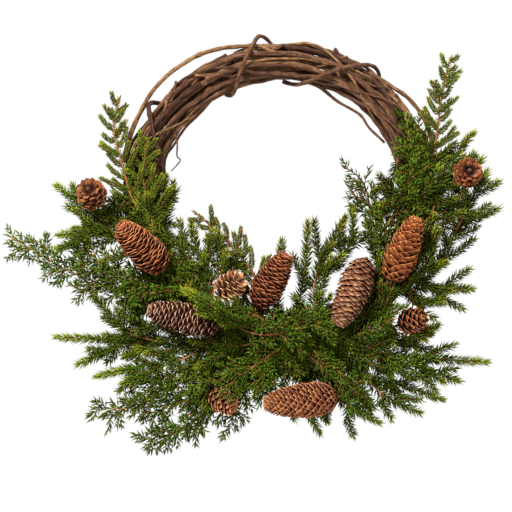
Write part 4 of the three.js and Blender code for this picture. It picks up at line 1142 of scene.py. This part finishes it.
scaleLook = {
    "across": (-1, -0.6, 0, 0.6, 1), "along": (0, 0.4, 0.68, 0.85, 0.95, 1),
    "usualWidth": 46, "shoulder": 0.62, "neck": 0.45, "round": 0.40, "narrowest": 0.6,
    "baseSize": 0.40, "grow": 3.0, "tipLoss": 0.42,    # how small the end scales are
    "baseReach": 0.58, "reachGrow": 9, "probe": 7,
    "probeTo": 0.99, "tipRoom": 1.02, "grainStep": 0.37,
    "curlFrom": 0.75, "curlUp": 1.2, "hollow": 0.6, "turnIn": 22, "tightest": 3.0,
    "thick": (1.1, 0.55), "thickShare": 0.9, "lean": 0.6,     # at root and rim; an angle
    "riseVary": 0.12, "reachVary": 0.07, "turnVary": 0.10, "halfVary": 0.14,
}


def scaleSize(cone, shape, share, draws):
    # A scale's rise along the cone, its reach from the axis and half its width.
    look, jitter = scaleLook, shape["jitter"]
    small = (min(1, look["baseSize"] + look["grow"] * share)
             * (1 - look["tipLoss"] * share ** 4))
    rise = (mix(shape["rise"], shape["riseTip"], share) * small
            * (1 + look["riseVary"] * jitter * (draws[3] - 0.5)))
    probe = min(share + max(rise - look["probe"], 0) / cone["length"], look["probeTo"])
    reach = float(coneReach(cone, probe)) * (1 - look["reachVary"] * jitter ** 0.5 * draws[0])
    reach *= ((1 - (1 - shape["tipIn"]) * share ** 8)
              * min(1, look["baseReach"] + share * look["reachGrow"]))
    half = (shape["half"] * cone["width"] / look["usualWidth"] * max(small, look["narrowest"])
            * (1 + look["halfVary"] * jitter * (draws[2] - 0.5)))
    return rise, reach, half


def coneScale(cone, shape, n, draws):
    # One scale as a thin curved blade: its top and under faces, in the cone's own axes.
    look, length = scaleLook, cone["length"]
    share = mix(shape["from"], shape["to"], (n + 0.5) / shape["scales"])
    rise, reach, half = scaleSize(cone, shape, share, draws)
    turn = n * goldenTurn + look["turnVary"] * shape["jitter"] * (draws[1] - 0.5)
    u = np.array(look["across"])[None, :]
    v = np.array(look["along"])[:, None]
    core = reach * shape["core"]
    opening = 90 * shape["open"] + look["turnIn"]
    r = core + (reach - core) * np.sin(v * opening * degrees) / math.sin(opening * degrees)
    r = r + shape["curl"] * reach * np.maximum(v - look["curlFrom"], 0) * look["curlUp"]
    r = np.minimum(r - look["hollow"] * u ** 2 * v, reach)
    root = min(length * share, length - rise * look["tipRoom"])
    z = root + rise * v ** 1.5 - shape["cup"] * rise * u ** 2 * v
    shoulder, neck = look["shoulder"], look["neck"]
    swelling = neck + (1 - neck) * np.sin(v / shoulder * math.pi / 2)
    rounding = np.sqrt(np.clip(1 - ((v - shoulder) / look["round"]) ** 2, 0, 1))
    wide = half * np.where(v < shoulder, swelling, rounding)
    angle = turn + u * wide / np.maximum(r, look["tightest"])
    top = np.stack([r * np.cos(angle), r * np.sin(angle), z], axis=-1)
    inward = math.sin(look["lean"])
    lean = np.stack([-inward * np.cos(angle), -inward * np.sin(angle),
                     np.full(angle.shape, math.cos(look["lean"]))], axis=-1)
    under = top - lean * mix(*look["thick"], v)[..., None] * look["thickShare"]
    grain = np.stack([np.broadcast_to(v, r.shape), np.broadcast_to(u, r.shape),
                      np.full(r.shape, n * look["grainStep"])], axis=-1)
    return top, under, grain


def scaleFaces(rows, columns):
    i = np.arange(rows - 1)[:, None] * columns
    j = np.arange(columns - 1)[None, :]
    top = np.stack([i + j, i + j + 1, i + columns + j + 1, i + columns + j],
                   axis=-1).reshape(-1, 4)
    off = rows * columns
    under = top[:, ::-1] + off
    edge = np.array([*range(columns)]
                    + [i * columns + columns - 1 for i in range(1, rows)]
                    + [(rows - 1) * columns + j for j in range(columns - 2, -1, -1)]
                    + [i * columns for i in range(rows - 2, 0, -1)])
    after = np.roll(edge, -1)
    rim = np.stack([edge, edge + off, after + off, after], axis=-1)
    return np.vstack([top, under, rim])


coreLook = {"from": 0.03, "to": 0.96, "steps": 16, "wider": 0.04, "point": 0.5,
            "sides": 12, "rough": 0.05, "tone": 0.2, "seed": 1.0}
stalkLook = {"steps": 30, "radii": (1.7, 1.5), "sides": 8, "rough": 0.15, "tone": 0.6,
             "seed": 2.0}
stumpLook = {"from": -2.2, "to": 6, "steps": 6, "radius": 2.4, "sides": 10, "rough": 0.1,
             "tone": 0.6, "seed": 2.0}
anySide = (0.31, 0.2, 0.93)      # a direction that no cone's axis has


def makeCone(name, cone):
    base, axis, stalk = coneSeats[name]
    shape = coneShape[cone["shape"]]
    skin = Skin()
    side = unit(np.cross(axis, anySide))
    other = np.cross(axis, side)
    seed = len(name) * 7 + int(cone["length"])
    draws = np.random.default_rng(seed).random((shape["scales"], 5))
    faces = scaleFaces(len(scaleLook["along"]), len(scaleLook["across"]))
    for n in range(shape["scales"]):
        top, under, grain = coneScale(cone, shape, n, draws[n])
        local = np.vstack([top.reshape(-1, 3), under.reshape(-1, 3)])
        placed = base + side * local[:, :1] + other * local[:, 1:2] + axis * local[:, 2:]
        skin.add(placed, [faces], np.vstack([grain.reshape(-1, 3)] * 2), draws[n][4],
                 scalePlace)
    shares = np.linspace(coreLook["from"], coreLook["to"], coreLook["steps"])
    core = base + axis * (shares * cone["length"])[:, None]
    radii = coneReach(cone, shares) * (shape["core"] + coreLook["wider"]) * (
        1 - coreLook["point"] * shares ** 4)
    sweep(skin, core, radii, coreLook, coreLook["tone"], stalkPlace, coreLook["seed"])
    if stalk is not None:
        look, line = stalkLook, SmoothLine(stalk).spaced(stalkLook["steps"])
        radii = np.linspace(*look["radii"], len(line))
    else:
        look = stumpLook
        steps = np.linspace(look["from"], look["to"], look["steps"])
        line, radii = base + axis * steps[:, None], look["radius"]
    sweep(skin, line, radii, look, look["tone"], stalkPlace, look["seed"])
    skin.build(name + "_scales", [makeConeScales(name), stalkBark], [name])


for name, cone in cones.items():
    makeCone(name, cone)
print("cones made:", Skin.made, "triangles")


sprayLook = {
    "spruce": {   # radius at root and tip, needles to a millimetre, lengths and angles
        "twig": (1.5, 0.8), "perMm": 2.4, "needle": (13.0, 10.5), "lean": (58, 50),
        "half": 1.1, "flat": 0.0, "bare": 0.0, "curve": 0.06, "bareTo": 0.34,
        "sideEvery": 18.0, "side": 58.0, "sideSpread": 40, "sideFrom": 0.02,
        "sideTo": 0.70, "slant": 0.8, "endReach": 0.55},
    "frond": {
        "twig": (1.7, 0.9), "perMm": 0.7, "needle": (6.5, 5.5), "lean": (52, 40),
        "half": 1.12, "flat": 0.72, "bare": 0.0, "curve": 0.08, "bareTo": 0.7,
        "sideEvery": 8.0, "side": 38.0, "sideSpread": 42, "sideFrom": 0.08,
        "sideTo": 0.97, "slant": 0.25, "endReach": 0.42},
    "cypress": {
        "twig": (1.5, 0.7), "perMm": 0.5, "needle": (11.0, 9.0), "lean": (46, 38),
        "half": 1.3, "flat": 0.1, "bare": 0.02, "curve": 0.04, "bareTo": 0.6,
        "sideEvery": 8.0, "side": 28.0, "sideSpread": 40, "sideFrom": 0.02,
        "sideTo": 0.97, "slant": 0.9, "endReach": 0.6},
}
sideLook = {      # what differs on a spray's side twigs
    "spruce": {"perMm": 2.0, "needle": (11.5, 9.0), "twig": (1.0, 0.65)},
    "frond": {"perMm": 2.3, "needle": (6.4, 4.8), "twig": (0.7, 0.45)},
    "cypress": {"perMm": 0.78, "needle": (10.5, 8.2), "twig": (0.65, 0.4), "half": 1.3,
                "forkEvery": 9.0, "fork": 13.0, "forkTurn": 38, "forkSlant": 0.9,
                "forkEnd": 0.6},
}
needleShape = {
    "frameEvery": 3, "turnVary": 0.8, "leanVary": 18, "lengthVary": (0.8, 1.12),
    "halfVary": (0.85, 1.15), "toneVary": (-0.25, 0.25), "toneEnds": (0.02, 0.98),
    "root": 0.2, "middle": 0.42, "wide": 1.15, "deep": 0.8, "inward": 0.5,
    "endShare": 1.03, "endTurn": 12, "endLean": 0.4,     # the end ones point onwards
    "flatSpread": 1.15, "flatMore": 0.15, "coneShare": 0.95, "boxRoom": 0.3,
    "tipOverlap": 4.0, "middleOverlap": 5.0, "stemFront": 0.55,
    "corners": (90, 210, 330),
    "faces": ((1, 2, 4), (2, 3, 4), (3, 1, 4), (2, 1, 0), (3, 2, 0), (1, 3, 0)),
}
# Painted shade by depth: how far forward it starts and over how much it fades in, how far out from
# the middle it reaches and fades, and how much darker deep needles and lighter front ones are
# painted.
paintedDepthShade = {"top": 38, "fade": 26, "reach": 270, "edge": 50, "dim": 0.46, "lift": 0.10}
openMiddle = {"radius": 130, "left": -126, "right": 77, "forTwigs": -22, "forShoots": -70,
              "cornerLeft": 92, "cornerLow": 28, "cornerRadius": 150}
coneBalls = balls.of(coneSeats)
vineBalls = balls.of([vine[0] for vine in bundleVines] + list(freeVines))


def inCone(points, room):
    gaps = np.linalg.norm(points[:, None] - coneBalls[None, :, :3] * (1, -1, 1), axis=2)
    return (gaps < coneBalls[None, :, 3] * needleShape["coneShare"] + room).any(axis=1)


def insideBox(points, room):
    placed, (low, high) = inFrame(points), np.array(cadBox)
    return ((placed > low + room / 1000) & (placed < high - room / 1000)).all(axis=1)


def gapsInFront(points):
    # How far each point is from each of the cones' balls, seen from the front.
    return np.hypot(points[:, None, 0] - coneBalls[None, :, 0],
                    points[:, None, 2] - coneBalls[None, :, 2])


def hidesCone(points, margin):
    # True in front of a cone, further in from its outline than the margin.
    ahead = -points[:, None, 1] > coneBalls[None, :, 1]
    return (ahead & (gapsInFront(points) < coneBalls[None, :, 3] - margin)).any(axis=1)


def inHole(point, bottom):
    # True inside the open middle, above the given height, or in its upper right corner.
    x, z = point[0], point[2]
    out = np.hypot(x, z)
    middle = openMiddle["left"] < x < openMiddle["right"] and z > bottom
    corner = x > openMiddle["cornerLeft"] and z > openMiddle["cornerLow"]
    return (middle and out < openMiddle["radius"]) or (corner and out < openMiddle["cornerRadius"])


def aimNeedles(line, look, draws, count):
    # Where needles stand and which way they leave the twig: all round it, or mostly to its
    # two sides where the kind is flat.
    fine = line.spaced(max(6, int(line.length / needleShape["frameEvery"])))
    tangents, normals, _ = carriedFrames(fine)
    shares = (np.arange(count) + draws.random(count)) / count
    shares = look["bare"] + (1 - look["bare"]) * shares
    place = shares * (len(fine) - 1)
    i = np.minimum(place.astype(int), len(fine) - 2)
    w = (place - i)[:, None]
    spot = fine[i] * (1 - w) + fine[i + 1] * w
    t = unit(tangents[i] * (1 - w) + tangents[i + 1] * w)
    n = unit(normals[i] * (1 - w) + normals[i + 1] * w)
    b = np.cross(t, n)
    angle = np.arange(count) * goldenTurn + draws.random(count) * needleShape["turnVary"]
    if look["flat"] > 0:
        halves = np.where(np.arange(count) % 2 == 0, 0.0, math.pi)
        level = np.cross(t[0], (0, 1, 0))
        side = math.atan2(float(np.dot(level, b[0])), float(np.dot(level, n[0])))
        spread = (draws.random(count) - 0.5) * math.pi * (needleShape["flatSpread"] - look["flat"])
        flatOnes = draws.random(count) < look["flat"] + needleShape["flatMore"]
        angle = np.where(flatOnes, side + halves + spread, angle)
    return spot, t, n * np.cos(angle)[:, None] + b * np.sin(angle)[:, None], shares


def keptNeedles(middle, tip, out, shares, look):
    # Leaves out needles that would run into a cone, hide it or leave the model's box.
    room = needleShape["boxRoom"]
    keep = insideBox(tip, room) & insideBox(middle, room)
    keep &= ~inCone(tip, 0.0) & ~inCone(middle, 0.0)
    if "bareFront" in look:
        keep &= (out[:, 1] > -look["bareFront"]) | (shares > look["bareTo"])
    if not look["over"]:
        keep &= ~hidesCone(tip, needleShape["tipOverlap"])
        keep &= ~hidesCone(middle, needleShape["middleOverlap"])
    return keep


def paintedShadeTone(root, tint, vary):
    # Painted shade: needles that lie deep between the shoots are painted darker than those on top,
    # which are painted a little lighter; the painted shade fades out towards the wreath's outer
    # edge.
    shaded = np.clip((paintedDepthShade["top"] + root[:, 1]) / paintedDepthShade["fade"], 0, 1)
    out = np.hypot(root[:, 0], root[:, 2])
    shaded *= np.clip((paintedDepthShade["reach"] - out) / paintedDepthShade["edge"], 0, 1)
    tint = tint + paintedDepthShade["lift"] - paintedDepthShade["dim"] * shaded
    return np.clip(tint + mix(*needleShape["toneVary"], vary), *needleShape["toneEnds"])


def addNeedles(skin, line, look, draws, tint):
    # Each needle is a slim three-sided spindle.
    count = int(line.length * look["perMm"])
    if count < 2:
        return
    spot, t, out, shares = aimNeedles(line, look, draws, count)
    lean = (mix(*look["lean"], shares)
            + needleShape["leanVary"] * (draws.random(count) - 0.5)) * degrees
    fromEnd = (needleShape["endShare"] - shares) * needleShape["endTurn"]
    lean = lean * np.clip(fromEnd, needleShape["endLean"], 1)
    length = (mix(*look["needle"], shares ** 1.5)
              * mix(*needleShape["lengthVary"], draws.random(count)))
    ahead = t * np.cos(lean)[:, None] + out * np.sin(lean)[:, None]
    root = spot + out * needleShape["root"]
    middle = root + ahead * (length * needleShape["middle"])[:, None]
    curve = (t - out * needleShape["inward"]) * (length * look["curve"])[:, None]
    tip = root + ahead * length[:, None] + curve
    keep = keptNeedles(middle, tip, out, shares, look)
    root, middle, tip, ahead, out, shares = (
        values[keep] for values in (root, middle, tip, ahead, out, shares))
    count = len(root)
    if count == 0:
        return
    wide = unit(np.cross(ahead, out))
    deep = unit(np.cross(wide, ahead))
    half = look["half"] * mix(*needleShape["halfVary"], draws.random(count))[:, None]
    corners = [middle + wide * half * math.cos(a * degrees) * needleShape["wide"]
               + deep * half * math.sin(a * degrees) * needleShape["deep"]
               for a in needleShape["corners"]]
    points = np.stack([root, *corners, tip], axis=1)
    first = np.arange(count)[:, None] * 5
    faces = np.concatenate([first + np.array([face]) for face in needleShape["faces"]])
    u = np.array([0, *[needleShape["middle"]] * 3, 1.0])
    grain = np.stack([np.broadcast_to(u, (count, 5)),
                      np.broadcast_to(shares[:, None], (count, 5)),
                      np.zeros((count, 5))], axis=-1)
    # The tone carries this painted shade on top of each needle's own random tone.
    tone = np.repeat(paintedShadeTone(root, tint, draws.random(count)), 5)
    skin.add(points, [faces], grain, tone, needlePlace)


twigLook = {"step": 7, "wave": 0.16, "waveTurn": 1.9, "rough": 0.10}
stemSides, shootSides, sideSides = 6, 5, 4      # round a stem, a shoot and a side twig


def addTwig(skin, line, radii, number, sides):
    spots = line.spaced(max(3, int(line.length / twigLook["step"])))
    share = np.linspace(0, 1, len(spots))
    waves = twigLook["wave"] * np.sin(share * line.length * twigLook["waveTurn"])
    sweep(skin, spots, mix(*radii, share) * (1 + waves), {**twigLook, "sides": sides},
          scatter(number), barkPlace, number)


branching = {"tries": 6, "shorter": 0.76, "rise": 0.7, "bendRise": 0.5,
             "out": 0.86, "onward": 0.16, "middle": 0.52, "coneRoom": 1.5, "boxRoom": 4.0,
             "shortest": 5, "start": 3, "swing": 14, "vary": (0.75, 1.15), "bare": 0.04,
             "toneVary": 0.5}


def branchOff(line, share, turn, reach, slant):
    # A short curved twig that leaves a line sideways and bends towards its heading.
    start = line.atShare(share)[0]
    tangent = line.tangent(share)[0]
    x, z = turned(tangent, turn)
    rise = tangent[1] * branching["rise"] + slant
    direction = unit([x, rise, z])
    bend = unit(tangent + (0, rise * branching["bendRise"], 0))
    for _ in range(branching["tries"]):
        end = start + direction * reach * branching["out"] + bend * reach * branching["onward"]
        blocked = inCone(end[None], branching["coneRoom"])[0]
        if not blocked and insideBox(end[None], branching["boxRoom"])[0]:
            return SmoothLine([start, start + direction * reach * branching["middle"], end])
        reach *= branching["shorter"]
    return None


def addForks(skin, side, look, draws, tint):
    count = int(side.length / look["forkEvery"])
    for m in range(1, count):
        fork = branchOff(side, m / count, (1 if m % 2 else -1) * look["forkTurn"] * degrees,
                         look["fork"] * mix(1.0, look["forkEnd"], m / count),
                         (draws.random() - 0.5) * look["forkSlant"])
        if fork is not None:
            addNeedles(skin, fork, look, draws, tint)


def addSides(skin, line, kind, look, draws, number, reachShare, tint):
    # Side twigs left and right in turn, shorter towards the tip.
    own = {**look, **sideLook[kind], "bare": branching["bare"]}
    places = np.arange(look["sideFrom"] * line.length + branching["start"],
                       look["sideTo"] * line.length, look["sideEvery"])
    for k, place in enumerate(places):
        share = place / line.length
        spread = look["sideSpread"] + branching["swing"] * (draws.random() - 0.5)
        turn = (1 if k % 2 == 0 else -1) * spread * degrees
        slant = (draws.random() - 0.5) * look["slant"]
        reach = look["side"] * mix(1.0, look["endReach"], share)
        reach = reach * mix(*branching["vary"], draws.random())
        side = branchOff(line, share, turn, reach * reachShare, slant)
        if side is None or side.length < branching["shortest"]:
            continue
        if inHole(side.corners[-1], openMiddle["forTwigs"]):
            continue
        shade = tint + branching["toneVary"] * (scatter(number * 7.7 + k * 3.3) - 0.5)
        addTwig(skin, side, own["twig"], number + k, sideSides)
        addNeedles(skin, side, own, draws, shade)
        if "fork" in own:
            addForks(skin, side, own, draws, shade)


# Short shoots that cover the ring between the sprays' stems, by angle round the ring. Each
# leaves it outwards, inwards or along it, with lengths for each way.
coverLook = {
    "from": 183, "to": 378, "count": 205, "thinFrom": 312, "thin": 0.4,
    "outward": (54, 96), "inward": (34, 50), "along": (44, 72),
    "turns": (0, 62, 180, -62, 25, 128, -25, -128), "outwardTo": 40, "spread": 22,
    "across": (-20, 20), "bend": 0.7, "step": 5, "start": 22, "tip": (4, 34),
    "slope": 1.1, "room": 3.0, "highest": 66, "nothing": -30,
    "overCone": 7.0, "boxRoom": 8.0, "fewest": 5,
    "twig": (1.0, 0.6), "sides": 0.56, "sideFrom": 0.05, "tintVary": 0.2, "seed": 77,
}
overLook = {"sideFrom": 0.2, "side": 20.0, "tint": 0.1}
noCover = ("frond_left_outer", "frond_left_inner", "frond_right", "frond_centre")
goldenShare = 0.618034


def surfaceDepth(points, room):
    # How far forward the ring reaches at each point, seen from the front.
    left = ((vineBalls[None, :, 3] + room) ** 2
            - (points[:, None, 0] - vineBalls[None, :, 0]) ** 2
            - (points[:, None, 2] - vineBalls[None, :, 2]) ** 2)
    depth = vineBalls[None, :, 1] + np.sqrt(np.maximum(left, 0))
    return np.where(left > 0, depth, coverLook["nothing"]).max(axis=1)


def shootPlan(angle, outward, turn, draws):
    # A shoot's way over the ring, up to the first cone that it would hide, and its length.
    look = coverLook
    way = "outward" if abs(turn) < look["outwardTo"] else "inward" if turn == 180 else "along"
    length = mix(*look[way], draws.random())
    start = np.array(onRing(angle, mix(*look["across"], draws.random())))
    bend = (draws.random() - 0.5) * look["bend"]
    count = max(look["fewest"], int(length / look["step"]))
    headings = (outward + turn) * degrees + bend * np.linspace(0, 1, count)
    steps = np.stack([np.cos(headings), np.sin(headings)], axis=1) * length / (count - 1)
    plan = start + np.vstack([[0, 0], np.cumsum(steps[:-1], axis=0)])
    points = np.stack([plan[:, 0], np.zeros(count), plan[:, 1]], axis=1)
    nearCone = (gapsInFront(points) < coneBalls[None, :, 3] - look["overCone"]).any(axis=1)
    blocked = np.nonzero(nearCone | ~insideBox(points, look["boxRoom"]))[0]
    if len(blocked):
        points = points[:blocked[0]]
    return points, length


def coverShoot(angle, k, draws):
    # The line of one shoot: it leaves the ring, rises over it and lies on it.
    look = coverLook
    outward = angle + (draws.random() - 0.5) * 2 * look["spread"]
    turn = look["turns"][k % len(look["turns"])]
    if angle > look["thinFrom"] and abs(turn) < look["outwardTo"]:
        return None
    points, length = shootPlan(angle, outward, turn, draws)
    if len(points) < look["fewest"]:
        return None
    shares = np.linspace(0, 1, len(points))
    planned = mix(look["start"], mix(*look["tip"], draws.random()), shares)
    surface = surfaceDepth(points, look["room"])
    surface[0] = min(surface[0], look["start"])
    away = np.abs(np.subtract.outer(shares, shares)) * length * look["slope"]
    depth = np.maximum(planned, (surface[None, :] - away).max(axis=1))
    depth[1:-1] = (depth[:-2] + depth[1:-1] * 2 + depth[2:]) / 4
    points[:, 1] = -np.minimum(depth, look["highest"])
    return None if inHole(points[-1], openMiddle["forShoots"]) else SmoothLine(points)


def nearestSpray(line):
    # The spray whose stem runs nearest to a shoot's start carries it.
    best, owner = math.inf, None
    for stem in stems:
        if stem["main"] and stem["owner"] not in noCover:
            away = (stem["points"][:3] - line.corners[0]) * (1, 0.3, 1)
            gap = np.linalg.norm(away, axis=1).min()
            if gap < best:
                best, owner = gap, stem["owner"]
    return owner


def planCover():
    draws = np.random.default_rng(coverLook["seed"])
    shoots = {}
    for k in range(coverLook["count"]):
        place = (k * goldenShare + draws.random() * 0.01) % 1
        angle = mix(coverLook["from"], coverLook["to"], place)
        left = angle > coverLook["thinFrom"] and draws.random() < coverLook["thin"]
        line = None if left else coverShoot(angle, k, draws)
        if line is not None:
            shoots.setdefault(nearestSpray(line), []).append(line)
    return shoots


# Shoots laid one by one over the bottom cone's stalk and in the gaps by the cones: the points
# of each, under the spray that carries it.
laidShoots = {
    "cypress_bottom_front": (
        ((42, -38, -188), (58, -46, -212), (74, -44, -236), (92, -34, -262)),
        ((50, -38, -196), (74, -48, -214), (88, -44, -234), (112, -32, -250)),
        ((-30, -30, -206), (-16, -34, -220), (-2, -34, -232), (10, -30, -240))),
    "cypress_centre_right": (
        ((96, -36, -168), (118, -42, -162), (136, -40, -150), (150, -34, -134)),),
    "cypress_left_front": (
        ((-128, -34, -112), (-146, -40, -116), (-166, -38, -118), (-188, -30, -122)),),
    "spruce_right_mid": (
        ((128, -30, -138), (136, -38, -118), (142, -38, -104), (150, -32, -88)),
        ((178, -18, -8), (194, -14, 14), (204, -8, 34), (214, -4, 56)),
        ((178, -34, 6), (194, -34, 16), (210, -30, 28), (222, -24, 38)),
        ((184, -14, -20), (206, -10, -6), (224, -6, 10), (240, -2, 28))),
    "spruce_right_fork": (
        ((160, -30, -104), (178, -36, -84), (190, -34, -62), (196, -28, -36)),
        ((130, -24, -158), (150, -22, -164), (170, -16, -168), (188, -8, -170)),
        ((128, -26, -130), (142, -24, -118), (156, -20, -108), (170, -14, -100))),
    "spruce_front_left": (
        ((-66, -36, -158), (-90, -42, -150), (-112, -40, -140), (-132, -34, -128)),
        ((-52, -40, -152), (-70, -48, -136), (-92, -46, -124), (-110, -38, -116)),
        ((-96, -20, -128), (-80, -22, -110), (-62, -22, -94), (-44, -18, -80))),
    "spruce_low_left": (
        ((-112, -26, -170), (-138, -28, -164), (-166, -22, -156), (-196, -12, -146)),
        ((-122, -24, -150), (-146, -22, -142), (-170, -16, -136), (-196, -8, -130))),
    "spruce_low_pale": (
        ((-96, -22, -196), (-114, -20, -210), (-136, -14, -220), (-160, -8, -228)),),
}
overShoots = {      # laid over the end of a cone, which they may hide
    "spruce_front_left": (
        ((-46, -44, -158), (-66, -62, -144), (-88, -70, -130), (-116, -68, -114)),
        ((-40, -44, -154), (-58, -60, -149), (-78, -68, -145), (-98, -66, -141))),
}
sprayTint = {       # how much lighter than its kind a spray is
    "cypress_right_top": 0.20, "cypress_centre": 0.08, "cypress_centre_left": 0.08,
    "cypress_centre_right": 0.08, "spruce_hole_upright": 0.20, "spruce_low_pale": 0.10,
    "spruce_low_left": 0.02, "spruce_ring_left": 0.06,
}
plainSprays = ("spruce_hole_upright", "spruce_behind_cone")      # without side twigs
dressing = {"tint": 0.5, "tintVary": 0.16, "seed": 1000, "laterReach": 0.7,
            "sideTwig": (0.8, 0.45), "sideReach": 0.85}
cover = planCover()
for name, shoots in laidShoots.items():
    cover.setdefault(name, []).extend(SmoothLine(points) for points in shoots)


def dressStem(skin, stem, name, kind, index, number, look, draws, tint):
    line = SmoothLine(stem["points"])
    twigNumber, sideNumber = number * 5 + index, number * 9 + index
    if stem["main"]:
        addTwig(skin, line, look["twig"], twigNumber, stemSides)
        addNeedles(skin, line, {**look, "bareFront": needleShape["stemFront"]}, draws, tint)
        if name not in plainSprays:
            reach = 1.0 if index == 0 or kind != "spruce" else dressing["laterReach"]
            addSides(skin, line, kind, look, draws, sideNumber, reach, tint)
    elif kind == "cypress":
        addTwig(skin, line, dressing["sideTwig"], twigNumber, shootSides)
        addNeedles(skin, line, look, draws, tint)
        addSides(skin, line, kind, look, draws, sideNumber, dressing["sideReach"], tint)
    else:
        own = {**look, **sideLook[kind]}
        addTwig(skin, line, own["twig"], twigNumber, sideSides)
        addNeedles(skin, line, own, draws, tint)


def makeSpray(name, number):
    skin = Skin()
    kind = name.split("_")[0]
    draws = np.random.default_rng(dressing["seed"] + number)
    vary = dressing["tintVary"] * (scatter(number * 3.1) - 0.5)
    tint = dressing["tint"] + vary + sprayTint.get(name, 0)
    look = {**sprayLook[kind], "over": name in overCones}
    for index, stem in enumerate([s for s in stems if s["owner"] == name]):
        dressStem(skin, stem, name, kind, index, number, look, draws, tint)
    own = {**look, "sideFrom": coverLook["sideFrom"], "over": False}
    for index, line in enumerate(cover.get(name, [])):
        shade = tint + coverLook["tintVary"] * (draws.random() - 0.5)
        addTwig(skin, line, coverLook["twig"], number * 11 + index, shootSides)
        addNeedles(skin, line, {**own, **sideLook[kind]}, draws, shade)
        addSides(skin, line, kind, own, draws, number * 13 + index, coverLook["sides"], shade)
    own = {**look, **sideLook[kind], "over": True}
    shade = tint + overLook["tint"]
    for index, points in enumerate(overShoots.get(name, ())):
        line = SmoothLine(points)
        addTwig(skin, line, coverLook["twig"], number * 17 + index, shootSides)
        addNeedles(skin, line, own, draws, shade)
        short = {**own, "sideFrom": overLook["sideFrom"], "side": overLook["side"]}
        addSides(skin, line, kind, short, draws, number * 19 + index, 1.0, shade)
    skin.build(name + "_needles", [twigBark, needleGreens[kind]], [name])


for number, name in enumerate([*behindCones, *overCones]):
    makeSpray(name, number)
print("sprays made:", Skin.made, "triangles, at most", Skin.most, "a piece")


studio = {   # in metres; the clouds are the scale, detail and roughness of the floor's noise
    "backdrop": (1.0, 1.0, 1.0), "ambient": 0.13,
    "drop": 1.0, "radius": 7.5, "corners": 96, "roughness": 0.85, "specular": 0.2,
    "tones": ((0.80, 0.80, 0.79), (0.86, 0.86, 0.85)), "clouds": (0.8, 2.0, 0.5),
}


def makeFloor():
    mesh = bpy.data.meshes.new("studioFloor")
    count, radius = studio["corners"], studio["radius"]
    level = float(cadBox[0][2]) - studio["drop"]
    outline = [(radius * math.cos(angle), radius * math.sin(angle), level)
               for angle in np.arange(count) / count * 2 * math.pi]
    mesh.from_pydata(outline, [], [list(range(count))])
    g = Finish("paleFloor", studio)
    place = g.node("ShaderNodeTexCoord").outputs["Object"]
    cloud = g.noise(place, 0.0, *studio["clouds"])
    dark, light = studio["tones"]
    g.put(g.shader["Base Color"], g.blend(cloud, rgba(dark), rgba(light)))
    mesh.materials.append(g.material)
    floor = bpy.data.objects.new("studioFloor", mesh)
    bpy.context.collection.objects.link(floor)


lights = {   # place, aim, size across, power
    "keyLight": ((-1.3, -2.2, 1.9), (0, 0, -0.2), 0.9, 188.0),
    "fillLight": ((2.2, -2.0, 0.4), (0, 0, -0.25), 1.8, 22.0),
    "topLight": ((0.3, 0.3, 2.1), (0, 0, -0.2), 1.4, 50.0),
    "backLight": ((0.8, 2.6, 0.8), (0, 0, -0.2), 1.8, 26.0),
}


def makeLights():
    for name, (place, aim, size, power) in lights.items():
        data = bpy.data.lights.new(name, "AREA")
        data.shape = "DISK"
        data.size = size
        data.energy = power
        lamp = bpy.data.objects.new(name, data)
        bpy.context.collection.objects.link(lamp)
        lamp.location = place
        lamp.rotation_euler = (Vector(aim) - Vector(place)).to_track_quat("-Z", "Y").to_euler()


def makeWorld():
    # The camera sees a white backdrop, and the wreath is lit by a fainter one.
    world = bpy.data.worlds.new("paleStudio")
    world.use_nodes = True
    bpy.context.scene.world = world
    world.node_tree.nodes.clear()
    g = Graph(world.node_tree)
    colour = rgba(studio["backdrop"])
    seen = g.fill(g.node("ShaderNodeBackground"), Color=colour)
    lit = g.fill(g.node("ShaderNodeBackground"), Color=colour, Strength=studio["ambient"])
    choice = g.node("ShaderNodeMixShader")
    g.put(choice.inputs[0], g.node("ShaderNodeLightPath").outputs["Is Camera Ray"])
    g.put(choice.inputs[1], lit[0])
    g.put(choice.inputs[2], seen[0])
    g.fill(g.node("ShaderNodeOutputWorld"), Surface=choice.outputs[0])


makeFloor()
makeLights()
makeWorld()
print("studio made")
